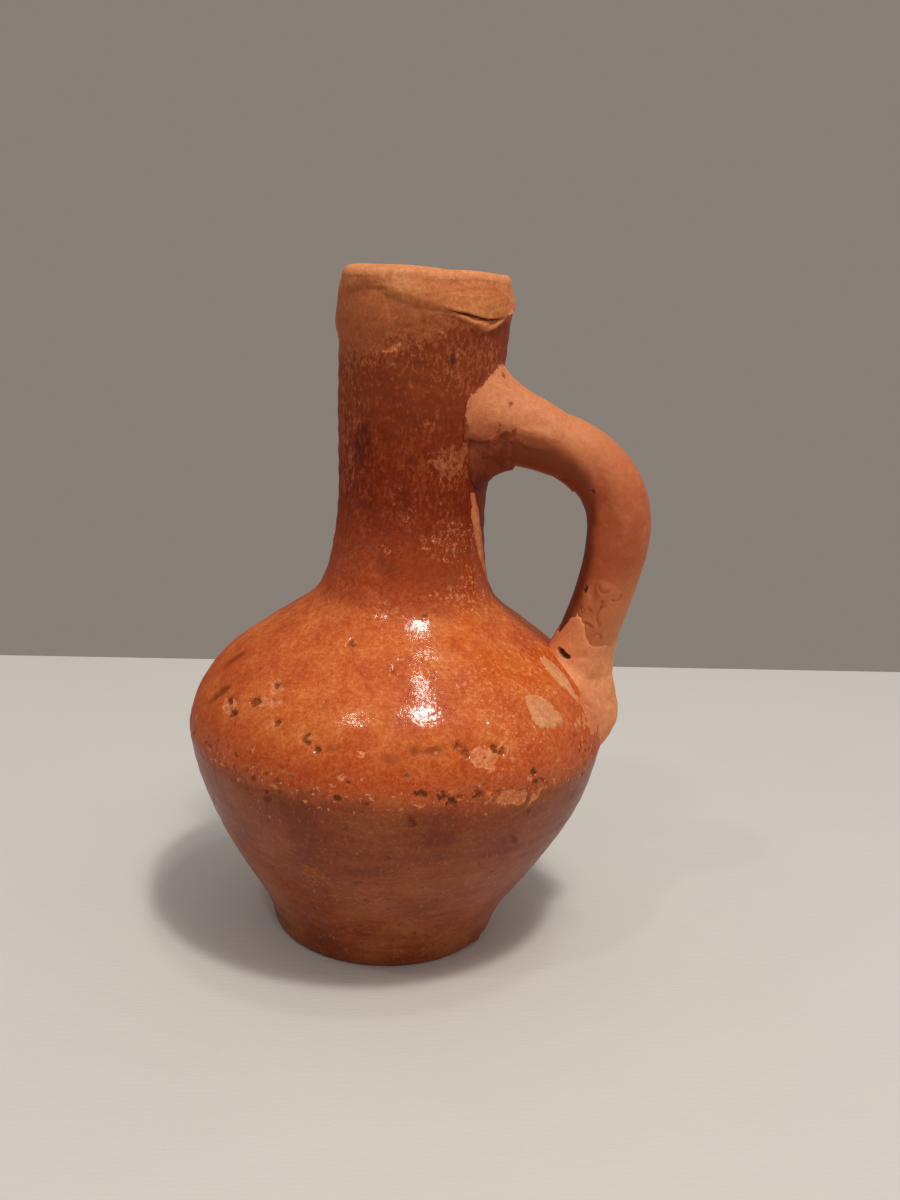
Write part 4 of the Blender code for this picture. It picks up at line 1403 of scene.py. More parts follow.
    def sculpt(self) -> bpy.types.Object:
        """Build the wall.

        Returns:
            The vessel.
        """
        form, heights = self.form, self.rows()
        turn = np.linspace(-math.pi, math.pi, self.columns, endpoint=False)
        turns, levels = np.meshgrid(turn, heights)
        top = keyed(turn, RIM_EDGE) + keyed(turn, RIM_OVERLAP)
        squeeze = np.clip((levels - heights[-1]) / self.neck_fade + 1.0, 0.0, 1.0)
        levels = levels + squeeze * (top - heights[-1])
        stretch = 1.0 / form.slope_at(levels)[0]
        relief = Relief(turns, levels, form.radius_at(levels), form.point(turns, levels), stretch)
        self.uneven(relief)
        self.weather(relief)
        relief.press(VESSEL_MARKS + self.burst())
        relief.lift *= smooth_step(levels / self.edge_still)
        outer = form.point(turns, levels, relief.lift)

        inner_levels = heights[heights > form.floor_thickness + 4 * MM][::-3]
        radial, vertical = form.slope_at(inner_levels)
        wall = form.wall_at(inner_levels)
        inner_radius = form.radius_at(inner_levels) - wall * radial
        inner_height = np.maximum(inner_levels - wall * vertical, form.floor_thickness)
        inner_height[0] = form.break_height + form.break_slope / 2
        inner = np.stack([form.place(turn, *place) for place in zip(inner_radius, inner_height)])
        floor, under = [], []
        for part in (0.8, 0.4):
            floor.append(form.place(turn, inner_radius[-1] * part, form.floor_thickness + 0 * turn))
        for part in (0.3, 0.7):
            under.append(form.place(turn, form.foot_radius * part, self.hollow_foot * (1 - part) + 0 * turn))
        grid = np.concatenate([under, outer, inner, floor])
        masks = {}
        for mask, values in relief.masks.items():
            masks[mask] = np.zeros(grid.shape[:2])
            masks[mask][len(under):len(under) + len(heights)] = values
        return make_piece(self.name, grid, masks)


# The thumb's dent, scratches and swells of the rim
RIM_MARKS = [
    Blemish(Mark.DENT, at=(-112.5, 138.6), size=(5.6, 2.6), depth=0.7, tilt=15),
    Blemish(Mark.SMUDGE_AND_PAINTED_SHADE, at=(-113, 138.4), size=(4, 1.2), ragged=0.7, strength=0.8),
    Blemish(Mark.CHIP_AND_PAINTED_LIGHT, at=(-101.5, 135), size=(0.6, 5.6), tilt=22, ragged=0.5, strength=0.7),
    Blemish(Mark.DENT, at=(-102.9, 135), size=(0.7, 5.6), depth=0.2, tilt=22),
    Blemish(Mark.DENT, at=(-97.3, 131.3), size=(0.6, 3.6), depth=0.3, tilt=8),
    Blemish(Mark.CHIP_AND_PAINTED_LIGHT, at=(-96, 131.6), size=(0.6, 3), tilt=8, ragged=0.5, strength=0.6),
    Blemish(Mark.DENT, at=(-93, 133), size=(0.6, 3), depth=0.2, tilt=-12),
    Blemish(Mark.LUMP, at=(-42, 133), size=(5, 1.4), depth=0.3, tilt=8),
    Blemish(Mark.LUMP, at=(-30, 138.5), size=(10, 5), depth=0.4),
    Blemish(Mark.LUMP, at=(-80, 139.2), size=(14, 4.4), depth=0.4),
    Blemish(Mark.DENT, at=(-58, 140), size=(5, 4), depth=0.5),
    Blemish(Mark.DENT, at=(60, 137), size=(8, 5), depth=0.5),
    Blemish(Mark.DENT, at=(150, 136.5), size=(7, 4), depth=0.5),
]


@dataclass
class RimBand(JugPiece):
    """Rebuilt rim: clay pressed over the broken edge, lapped on one side and feathered on the other."""

    node: str = "rim_band"
    slot: str = "rim_clay"
    name: str = "rebuilt_rim"
    look: Finish = RIM_CLAY
    rise: float = 0.0118
    band_radius: float = 0.0175
    swell: float = 0.0045
    lip_radius: float = 0.0168
    lip_wall: float = 0.0034
    lip_wave: float = 0.0007
    lip_ripple: float = 0.0005
    lip_high_side: float = math.radians(-100)
    columns: int = 400
    outer_rows: int = 96
    lip_rows: int = 14
    inner_rows: int = 24
    crack_from: float = math.radians(-69)
    crack_to: float = math.radians(-22)
    crack_depth: float = 0.0008
    crack_width: float = 0.00022
    lap_roll: float = 0.0003
    lap_recess: float = 0.0003
    torn_lip: float = 0.0004
    torn_from: float = math.radians(-68)
    torn_to: float = math.radians(2)
    edge_lift: float = 0.00030
    edge_sink: float = 0.00035

    def worked(self, relief: Relief) -> None:
        """Work the lap, the drag marks, the thumb's dent and the scratches into the band.

        Args:
            relief: The band's outside.
        """
        turn, level, points = relief.turn, relief.level, relief.points
        ragged = 0.30 * MM * clumps(points, 2.4 * MM, 31) + 0.14 * MM * lattice_noise(points, 0.8 * MM, 47)
        gap = level - keyed(turn, LAP_EDGE) - ragged
        over = smooth_step(0.5 + gap / keyed(turn, LAP_SOFT))
        relief.lift += self.lap_roll * over * smooth_step((7 * MM - gap) / (6 * MM))
        relief.lift -= self.lap_recess * (1 - over) * smooth_step((gap + 6 * MM) / (5 * MM))
        relief.paint(Mark.SMUDGE_AND_PAINTED_SHADE, (1 - over) * (0.75 + 0.25 * clumps(points, 3 * MM, 49)))
        open_share = smooth_step((turn - self.crack_from) / 0.2) * smooth_step((self.crack_to - turn) / 0.12)
        uneven = np.clip(0.75 + 0.9 * clumps(points, 2 * MM, 43, 2), 0.15, 1.5)
        crack = open_share * bell(gap, -0.1 * MM, self.crack_width * uneven)
        relief.lift -= self.crack_depth * crack
        # Painted shade: the crack is painted dark
        relief.paint(Mark.PIT, 0.8 * crack ** 2)
        drag = np.stack([turn * relief.radius / 6, level, 0 * level], axis=-1)
        relief.lift += 0.05 * MM * clumps(drag, 1.2 * MM, 33) + 0.20 * MM * lattice_noise(points, 6 * MM, 35)
        relief.lift += 0.05 * MM * clumps(points, 1.4 * MM, 45, 2)
        relief.press(RIM_MARKS)

    def sculpt(self) -> bpy.types.Object:
        """Build the band as a closed ring.

        Returns:
            The rim.
        """
        form = self.form
        rim_height = form.break_height + self.rise
        turn = np.linspace(-math.pi, math.pi, self.columns, endpoint=False)
        edge = keyed(turn, RIM_EDGE)
        bottom = edge - 1.0 * MM
        lip_middle = rim_height - self.lip_wall / 2
        share = np.linspace(0.0, 1.0, self.outer_rows)[:, None]
        levels = bottom + (lip_middle - bottom) * share
        turns = np.broadcast_to(turn, levels.shape)
        full = form.break_height + self.swell
        swell = np.interp(levels, [form.break_height - 6 * MM, full, lip_middle], [0.0, 1.0, 1.0])
        drawn = smooth_step((levels - full) / (lip_middle - full))
        radius = form.radius_at(levels) * (1 - swell) + self.band_radius * swell
        radius = radius - drawn * (self.band_radius - self.lip_radius)
        relief = Relief(turns, levels, radius, form.place(turns, radius, levels))
        self.worked(relief)
        ragged = 0.5 * MM * clumps(relief.points, 4 * MM, 37, 3)
        cover = smooth_step((levels - edge - ragged) / keyed(turn, FEATHER))
        torn = smooth_step((turns - self.torn_from) / 0.25) * smooth_step((self.torn_to - turns) / 0.25)
        torn = torn * bell(levels - edge - ragged, 0.8 * MM, 0.55 * MM)
        relief.lift += self.torn_lip * torn
        relief.masks[Mark.SMUDGE_AND_PAINTED_SHADE.value] *= 1.0 - 0.9 * torn
        relief.paint(Mark.CHIP_AND_PAINTED_LIGHT, torn)
        relief.paint(Mark.FILM, (1.0 - clay_share(turns, levels)) * (1.0 - 0.8 * torn))
        laid = self.edge_lift * cover - self.edge_sink * (1 - cover)
        relief.lift = relief.lift * cover + laid * (1 - drawn)
        wave = self.lip_wave * np.cos(turn - self.lip_high_side)
        wave = wave + self.lip_ripple * np.cos(2 * turn - self.lip_high_side)
        lip_line = form.place(turn, self.lip_radius, rim_height + 0 * turn)
        wave = wave + 0.3 * MM * lattice_noise(lip_line, 9 * MM, 39)
        wave = wave - 0.5 * MM * smooth_step((turn - deg(-80)) / 0.15) * smooth_step((deg(10) - turn) / 0.4)
        outer = form.place(turns, radius + relief.lift, levels + wave * drawn)

        half = self.lip_wall / 2
        lip = []
        for step in range(1, self.lip_rows):
            angle = math.pi * step / self.lip_rows
            lip.append(form.place(turn, self.lip_radius - half + half * math.cos(angle) + relief.lift[-1],
                                  lip_middle + half * math.sin(angle) + wave))
        seat = np.array([form.neck_top_radius - form.neck_wall, form.break_height + form.break_slope / 2])
        inner = []
        for step in range(self.inner_rows):
            fall = step / (self.inner_rows - 1)
            radius_in = (self.lip_radius - self.lip_wall) * (1 - fall) + seat[0] * fall
            height_in = lip_middle * (1 - fall) + (seat[1] - 1.0 * MM) * fall
            points = form.place(turn, radius_in + 0 * turn, height_in + wave * (1 - fall))
            dent = 0.18 * MM * lattice_noise(points, 5 * MM, 41)
            inner.append(form.place(turn, radius_in + dent, height_in + wave * (1 - fall)))
        grid = np.concatenate([outer, lip, inner])
        masks = {mask: np.zeros(grid.shape[:2]) for mask in relief.masks}
        for mask, values in relief.masks.items():
            masks[mask][:self.outer_rows] = values
        # Painted highlight: the lip's top is painted pale all round, where light catches it
        masks[Mark.CHIP_AND_PAINTED_LIGHT.value][self.outer_rows:self.outer_rows + self.lip_rows] = 0.9
        return make_piece(self.name, grid, masks, ring=True)


@dataclass
class RollPiece(JugPiece):
    """A piece that follows the handle's roll."""

    path: RollPath = field(default_factory=lambda: RollPath(VesselForm()))
    columns: int = 120
    rows: int = 120
    start: float = 0.0
    end: float = 0.0

    def lay(self) -> tuple[Array, Array, Array]:
        """Lay the rows out along the roll.

        Returns:
            The distance of each row from the neck, and the angle and the distance of every point.
        """
        length = np.linspace(self.start, self.end, self.rows)
        angle = np.linspace(-math.pi, math.pi, self.columns, endpoint=False)
        angles, lengths = np.meshgrid(angle, length)
        return length, angles, lengths

    @staticmethod
    def flare(length: Array, reach: float) -> Array:
        """Share of a flare that is left at a distance from the neck."""
        share = np.clip(1 - length / reach, 0.0, 1.0)
        return 1 - np.sqrt(1 - share ** 2)

    @staticmethod
    def tint(relief: Relief) -> None:
        """Paint the roll's top paler as painted light, its underside dark as painted shade, and its lower end
        paler.

        Args:
            relief: A surface laid by the angle round the roll and the distance from the neck.
        """
        side, length = np.abs(relief.turn), relief.level
        # Painted light: the top of the roll near the neck is painted paler, as if lit from above
        wiped = smooth_step((0.032 - length) / 0.018) * smooth_step((1.65 - side) / 0.6)
        relief.paint(Mark.CHIP_AND_PAINTED_LIGHT, 0.9 * wiped + 0.75 * smooth_step((length - 0.040) / 0.012))
        # Painted shade: the underside is painted dark, from an angle that grows along the roll
        shade_from = np.interp(length, [0.014, 0.022, 0.034], [1.22, 1.42, 2.10])
        shade_from = shade_from + 0.15 * clumps(relief.points, 4 * MM, 67)
        relief.paint(Mark.SMUDGE_AND_PAINTED_SHADE, 0.95 * smooth_step((side - shade_from) / 0.55))


@dataclass
class HandleStump(RollPiece):
    """What is left of the old handle: a dark glazed stump that flares down the neck."""

    node: str = "handle_stump"
    slot: str = "stump_glaze"
    name: str = "old_stump"
    look: Finish = STUMP_GLAZE
    start: float = -0.0050
    end: float = 0.0100
    rows: int = 70
    fillet: float = 0.0110
    drop: float = 0.0068
    spread: float = 0.0010
    broken_at: float = 0.0062
    sink: float = 0.0018

    def sculpt(self) -> bpy.types.Object:
        """Build the stump, its far end sunk into the new roll.

        Returns:
            The stump.
        """
        path = self.path
        length, angle, lengths = self.lay()
        flare = self.flare(lengths + self.sink, self.fillet + self.sink)
        outer = path.thickness / 2 + np.where(np.cos(angle) < 0, self.drop * flare, 0.0)
        flank = path.width / 2 + self.spread * flare
        points = path.tube(length, angle, outer, flank)
        relief = Relief(angle, lengths, 0 * angle + path.width / 2, points)
        broken = self.broken_at + 1.3 * MM * clumps(points, 2.6 * MM, 51)
        proud = smooth_step((broken - lengths) / (1.6 * MM))
        relief.lift += (0.16 * proud - 1.3 * (1 - proud)) * MM + 0.12 * MM * clumps(points, 2.4 * MM, 53)
        relief.paint(Mark.FILM, 0.5 * smooth_step(1.6 * clumps(points, 3 * MM, 57)))
        relief.paint(Mark.SMUDGE_AND_PAINTED_SHADE, smooth_step((lengths - broken + 2.5 * MM) / (2.5 * MM)))
        grid = path.tube(length, angle, outer + relief.lift, flank + relief.lift)
        return make_piece(self.name, self.form.keep_in_wall(grid, 1.6 * MM), relief.masks)


# Nail marks, pellets and dents of the hand that pressed the roll down
ROLL_MARKS = [
    Blemish(Mark.RING, at=(-115, 53), size=(1.3, 1.3), depth=0.3, ragged=0.2),
    Blemish(Mark.LUMP, at=(-96, 47.8), size=(5, 4.4), depth=0.4, tilt=20, ragged=0.6),
    Blemish(Mark.NAIL, at=(-100, 46.8), size=(2.4, 2.4), depth=0.2, tilt=100, ragged=0.3),
    Blemish(Mark.LUMP, at=(-82, 52.5), size=(3.6, 6), depth=0.3, tilt=10, ragged=0.5),
    Blemish(Mark.NAIL, at=(-88, 53), size=(2.4, 4.4), depth=0.2, tilt=180, ragged=0.3),
    Blemish(Mark.NAIL, at=(-100, 50.6), size=(1.2, 1.8), depth=0.4, ragged=0.3),
    Blemish(Mark.NAIL, at=(-111, 57.1), size=(2, 2.6), depth=0.3, tilt=-120, ragged=0.3),
    Blemish(Mark.NAIL, at=(-74, 48.3), size=(2, 2.2), depth=0.2, tilt=60, ragged=0.3),
    Blemish(Mark.NAIL, at=(-84, 58.3), size=(2.2, 1.8), depth=0.2, tilt=-80, ragged=0.3),
    Blemish(Mark.SLIT, at=(-136, 49.2), size=(0.8, 2), depth=0.6),
    Blemish(Mark.SLIT, at=(-130, 53.8), size=(1, 1), depth=0.6),
    Blemish(Mark.DENT, at=(-122, 48), size=(2.2, 5), depth=0.5),
    Blemish(Mark.DENT, at=(-80, 20), size=(6, 10), depth=0.4, tilt=-20),
    Blemish(Mark.DENT, at=(-105, 26.2), size=(3, 6), depth=0.5, tilt=30),
    Blemish(Mark.SLIT, at=(-112, 24.5), size=(0.6, 1.4), depth=0.3),
    Blemish(Mark.LUMP, at=(-60, 30), size=(8, 14), depth=0.4),
    Blemish(Mark.DENT, at=(-165, 17.5), size=(6, 5), depth=0.6),
    Blemish(Mark.DENT, at=(60, 33), size=(8, 12), depth=0.4),
    Blemish(Mark.DENT, at=(95, 48), size=(6, 9), depth=0.5),
    Blemish(Mark.LUMP, at=(120, 22), size=(7, 9), depth=0.4),
]


@dataclass
class HandleArch(RollPiece):
    """New handle: a hand-rolled bar of clay with finger flats and nail marks near its foot."""

    node: str = "handle_arch"
    slot: str = "handle_clay"
    name: str = "roll_handle"
    look: Finish = ROLL_CLAY
    columns: int = 150
    rows: int = 240
    start: float = 0.0042
    taper: float = 0.0009

    def sculpt(self) -> bpy.types.Object:
        """Build the roll from inside the stump to inside the shoulder.

        Returns:
            The roll.
        """
        path = self.path
        self.end = float(path.lengths[-1]) - 2.0 * MM
        length, angle, lengths = self.lay()
        outer, flank = 0 * angle + path.thickness / 2, 0 * angle + path.width / 2
        points = path.tube(length, angle, outer, flank)
        relief = Relief(angle, lengths, flank, points)
        relief.lift += 0.25 * MM * lattice_noise(points, 10 * MM, 61)
        relief.lift += 0.08 * MM * clumps(points, 2.5 * MM, 63)
        relief.lift -= self.taper * smooth_step((lengths - 0.034) / 0.020) * np.clip(np.cos(angle), 0.0, 1.0)
        self.tint(relief)
        rolled = np.stack([angle * path.width / 2, lengths / 8, 0 * angle], axis=-1)
        relief.lift += 0.03 * MM * clumps(rolled, 1.2 * MM, 65, 2)
        relief.press(ROLL_MARKS)
        grid = path.tube(length, angle, outer + relief.lift, flank + relief.lift)
        return make_piece(self.name, self.form.keep_in_wall(grid, 3.0 * MM), relief.masks)


# Slits and finger dents of the collar
COLLAR_MARKS = [
    Blemish(Mark.SLIT, at=(-47, 4.2), size=(1, 0.5), depth=0.3, strength=0.6),
    Blemish(Mark.SLIT, at=(-16, 2.4), size=(0.8, 0.8), depth=0.4, strength=0.6),
    Blemish(Mark.DENT, at=(-88, 4.8), size=(4.4, 5), depth=0.4, ragged=0.8),
    Blemish(Mark.FILM, at=(-90, 4.8), size=(4.6, 5.6), ragged=0.8, strength=0.8),
    Blemish(Mark.DENT, at=(-60, 9), size=(3, 5), depth=0.3),
    Blemish(Mark.DENT, at=(30, 6), size=(5, 5), depth=0.4),
]


@dataclass
class LutingCollar(RollPiece):
    """Clay pressed over the stump and the start of the roll, run up the neck and ragged underneath."""

    node: str = "upper_luting_collar"
    slot: str = "collar_clay"
    name: str = "pressed_collar"
    look: Finish = COLLAR_CLAY
    columns: int = 220
    rows: int = 150
    start: float = -0.0065
    end: float = 0.0235
    reach: float = 0.0150
    skin: float = 0.0006
    climb: float = 0.0120
    spread: float = 0.0034
    hem: float = math.radians(102)
    neck_round: float = 0.0165
    edge_sink: float = 0.0008
    calm_from: float = 0.006
    calm_reach: float = 0.003
    end_from: float = 0.0175
    end_reach: float = 0.009

    def recess(self, angle: Array) -> Array:
        """How far the round neck falls away behind each side of the collar."""
        side = (self.path.width / 2 + self.spread) * np.sin(angle)
        return self.neck_round - np.sqrt(self.neck_round ** 2 - side ** 2)

    def sculpt(self) -> bpy.types.Object:
        """Build the collar as a sleeve whose bare side is sunk into the stump.

        Returns:
            The collar.
        """
        path, form = self.path, self.form
        length, angle, lengths = self.lay()
        flare = self.flare(lengths + self.recess(angle), self.reach)
        upper = np.clip(np.cos(angle), 0.0, 1.0)
        around = np.stack([np.cos(angle) * 7 * MM, np.sin(angle) * 7 * MM, lengths], axis=-1)
        lobe = 1.4 * MM * bell(angle, deg(-64), 0.30) - 1.0 * MM * bell(angle, deg(-26), 0.14)
        ragged = 0.6 * MM * clumps(around, 5 * MM, 71, 2)
        outer = path.thickness / 2 + (self.climb + ragged) * flare * np.where(upper > 0, 1.0, 0.0)
        flank = path.width / 2 + (self.spread + 0.6 * ragged) * flare
        points = path.tube(length, angle, outer, flank)
        calm = 1.0 - 0.8 * smooth_step((lengths - self.calm_from) / self.calm_reach)
        torn = 0.20 * clumps(around, 3.2 * MM, 73) + 0.14 * lattice_noise(around, 1.0 * MM, 75)
        hem = self.hem + calm * torn
        far = self.end_from + 2.0 * MM * clumps(around, 6 * MM, 77, 2) + 2 * MM * upper
        cover = smooth_step((hem - np.abs(angle)) / 0.14) * smooth_step((far - lengths) / self.end_reach)
        relief = Relief(angle, lengths, 0 * angle + path.width / 2, points)
        self.tint(relief)
        relief.lift += lobe * flare + 0.15 * MM * lattice_noise(points, 5 * MM, 79)
        relief.lift += 0.06 * MM * clumps(points, 1.6 * MM, 81, 2)
        relief.press(COLLAR_MARKS)
        relief.paint(Mark.FILM, 0.8 * smooth_step((np.abs(angle) - hem + 0.25) / 0.30))
        lift = cover * (self.skin * (1 - 0.5 * flare) + relief.lift) - (1 - cover) * 0.6 * MM
        behind = lengths + self.recess(angle) - self.edge_sink
        lift = lift - 2.0 * MM * smooth_step(-behind / (1.2 * MM)) * smooth_step((np.abs(angle) - 0.6) / 0.4)
        grid = path.tube(length, angle, outer + lift, flank + lift)
        radius, outside = form.depth_of(grid)
        stand = np.maximum(radius - outside, 0.0)
        thin = keyed(angle, COLLAR_RUN_OUT)
        turn = np.arctan2(grid[..., 1], grid[..., 0] - grid[..., 2] * math.tan(form.lean))
        pressed = form.place(turn, radius - stand * thin / (stand + thin), grid[..., 2])
        relief.paint(Mark.FILM, 1.0 - smooth_step(stand / (thin + 0.6 * MM)))
        return make_piece(self.name, form.keep_in_wall(pressed, 1.2 * MM), relief.masks)


# The open slit, and finger dents of the pad
PAD_MARKS = [
    Blemish(Mark.SLIT, at=(-130, 65.6), size=(4.8, 1.3), depth=0.7, tilt=-27, ragged=0.3),
    Blemish(Mark.DENT, at=(-95, 65.5), size=(4, 3), depth=0.3),
    Blemish(Mark.DENT, at=(-30, 54), size=(1.2, 3.4), depth=0.3, tilt=30),
    Blemish(Mark.LUMP, at=(-20, 51), size=(8, 6), depth=0.4),
    Blemish(Mark.DENT, at=(-60, 59), size=(6, 4), depth=0.4),
    Blemish(Mark.DENT, at=(40, 60), size=(7, 6), depth=0.5),
]


@dataclass
class LutingPad(RollPiece):
    """Clay pressed round the roll's lower end, fullest on the turn of the shoulder, with a slit left open."""

    node: str = "lower_luting_pad"
    slot: str = "pad_clay"
    name: str = "pressed_pad"
    look: Finish = PAD_CLAY
    columns: int = 220
    rows: int = 170
    skin: float = 0.0004
    swell: float = 0.0032
    spread: float = 0.0017
    rise: float = 0.0195
    drop: float = 0.0100
    sag: float = 0.0100
    over: float = 0.0060
    apron: float = 0.0021
    apron_reach: float = 0.0042
    trim: float = 0.0007

    def sculpt(self) -> bpy.types.Object:
        """Build the pad from level sections, its top edge thinned out raggedly on the roll.

        Returns:
            The pad.
        """
        path, form = self.path, self.form
        middle = path.frames[0][path.steps + 2:-1][::-1]
        full = middle[0, 2] - self.sag
        bottom, top = full - self.drop, full + self.rise + self.over
        share = (np.arange(self.rows) + 0.3) / (self.rows - 0.7)
        level = bottom + (top - bottom) * share
        angle = np.linspace(-math.pi, math.pi, self.columns, endpoint=False)
        angles, levels = np.meshgrid(angle, level)
        across, beside = (np.interp(level, middle[:, 2], middle[:, axis]) for axis in (0, 1))
        centre = np.stack([across, beside, level], axis=-1)
        swell = np.cos(math.pi / 2 * np.clip((levels - full) / self.rise, 0.0, 1.0)) ** 2
        draw_in = np.sqrt(1 - np.clip((full - levels) / self.drop, 0.0, 0.9999) ** 2)
        around = np.stack([np.cos(angles) * 7 * MM, np.sin(angles) * 7 * MM, levels], axis=-1)
        edge = keyed(angles, PAD_EDGE) + 1.1 * MM * clumps(around, 3 * MM, 91)
        edge = edge + 0.5 * MM * lattice_noise(around, 0.9 * MM, 93)
        soft = keyed(angles, PAD_SOFT)
        cover = smooth_step((edge + 0.4 * soft - levels) / soft)
        outer_side = np.clip(np.cos(angles), 0.0, 1.0)
        follow = HandleArch.taper * outer_side * smooth_step((levels - 0.060) / (6 * MM))
        skin = cover * self.skin - (1 - cover) * 0.4 * MM - follow
        ragged = 0.5 * MM * (clumps(around, 5 * MM, 95) + lattice_noise(around, 2 * MM, 97)) * swell
        depth = ((path.thickness / 2 + skin) / math.sin(path.seat_pitch) + self.swell * swell) * draw_in
        flank = (path.width / 2 + skin + self.spread * swell + ragged) * draw_in
        turn = path.skew / 2
        out = np.array([math.cos(turn), math.sin(turn), 0.0])
        side = np.array([-math.sin(turn), math.cos(turn), 0.0])

        def laid(lift: Array | float) -> Array:
            """Points of the pad's sections with a lift added."""
            outward = out * ((depth + lift) * np.cos(angles))[..., None]
            return centre[:, None, :] + outward + side * ((flank + lift) * np.sin(angles))[..., None]

        relief = Relief(angles, levels, 0 * angles + path.width / 2, laid(0.0))
        relief.lift += 0.20 * MM * lattice_noise(relief.points, 6 * MM, 99)
        relief.lift += 0.05 * MM * clumps(relief.points, 1.8 * MM, 101, 2)
        relief.lift -= self.trim * outer_side * swell
        raw = smooth_step((levels - edge + 5 * MM) / (5 * MM)) * smooth_step((angles + 1.75) / 0.6)
        relief.paint(Mark.SMUDGE_AND_PAINTED_SHADE, 0.4 * raw)
        # Painted light: the pad's upper left, which faces away from the lamp, is painted pale
        relief.paint(Mark.CHIP_AND_PAINTED_LIGHT, smooth_step((levels - 0.0575) / 0.004) * smooth_step((-0.9 - angles) / 0.5))
        relief.press(PAD_MARKS)
        grid = laid(relief.lift * np.minimum(cover + 0.2, 1.0))
        radius, outside = form.depth_of(grid)
        root = np.clip(1 - (radius - outside) / self.apron_reach, 0.0, 1.0) ** 2
        low = smooth_step((0.068 - levels) / 0.008)
        grid = grid + side * (self.apron * root * low * np.sin(angles))[..., None]
        return make_piece(self.name, form.keep_in_wall(grid, 2.6 * MM), relief.masks)


@dataclass
class ClaySmear(JugPiece):
    """A thin smear of mending clay that lies on the glaze."""

    turn: float = 0.0
    level: float = 0.0
    width: float = 0.0
    length: float = 0.0
    tilt: float = 0.0
    outline: dict[float, float] = field(default_factory=lambda: {0: 1.0})
    thickness: float = 0.00016
    stand: float = 0.00012
    ragged: float = 0.16
    seed: int = 0
    columns: int = 160
    rows: int = 26

    def sculpt(self) -> bpy.types.Object:
        """Build the smear as a closed skin, feathered into the glaze all round.

        Returns:
            The smear.
        """
        form = self.form
        angle = np.linspace(-math.pi, math.pi, self.columns, endpoint=False)
        share = np.concatenate([np.linspace(0.06, 1.0, self.rows), np.linspace(0.97, 0.06, self.rows // 2)])
        shares, angles = np.meshgrid(share, angle, indexing="ij")
        ring = np.stack([np.cos(angle), np.sin(angle), 0 * angle + self.seed], axis=-1)
        edge = keyed(angle, self.outline) + self.ragged * clumps(ring, 0.7, self.seed)
        edge = edge + 0.6 * self.ragged * lattice_noise(ring, 0.14, self.seed + 3)
        across = shares * edge * self.width / 2 * np.cos(angles)
        rise = shares * edge * self.length / 2 * np.sin(angles)
        side = across * math.cos(self.tilt) - rise * math.sin(self.tilt)
        climb = rise * math.cos(self.tilt) + across * math.sin(self.tilt)
        radial = form.slope_at(np.array(self.level))[0]
        turn = self.turn + side / form.radius_at(np.array(self.level))
        level = self.level + climb * radial
        over = (np.arange(len(share)) < self.rows)[:, None]
        points = form.point(turn, level)
        lie = form.swell_at(turn, level)
        crown = self.stand + self.thickness * (1 - shares ** 6) - (self.stand + 0.25 * MM) * shares ** 12
        crown = crown + 0.08 * MM * clumps(points, 1.5 * MM, self.seed + 7, 2) * (1 - shares ** 4)
        lift = lie + np.where(over, crown, -0.8 * MM)
        relief = Relief(turn, level, 0 * turn + 1.0, points)
        relief.paint(Mark.SMUDGE_AND_PAINTED_SHADE, 0.20 * smooth_step(clumps(points, 2 * MM, self.seed + 9)))
        return make_piece(self.name, form.point(turn, level, lift), relief.masks)


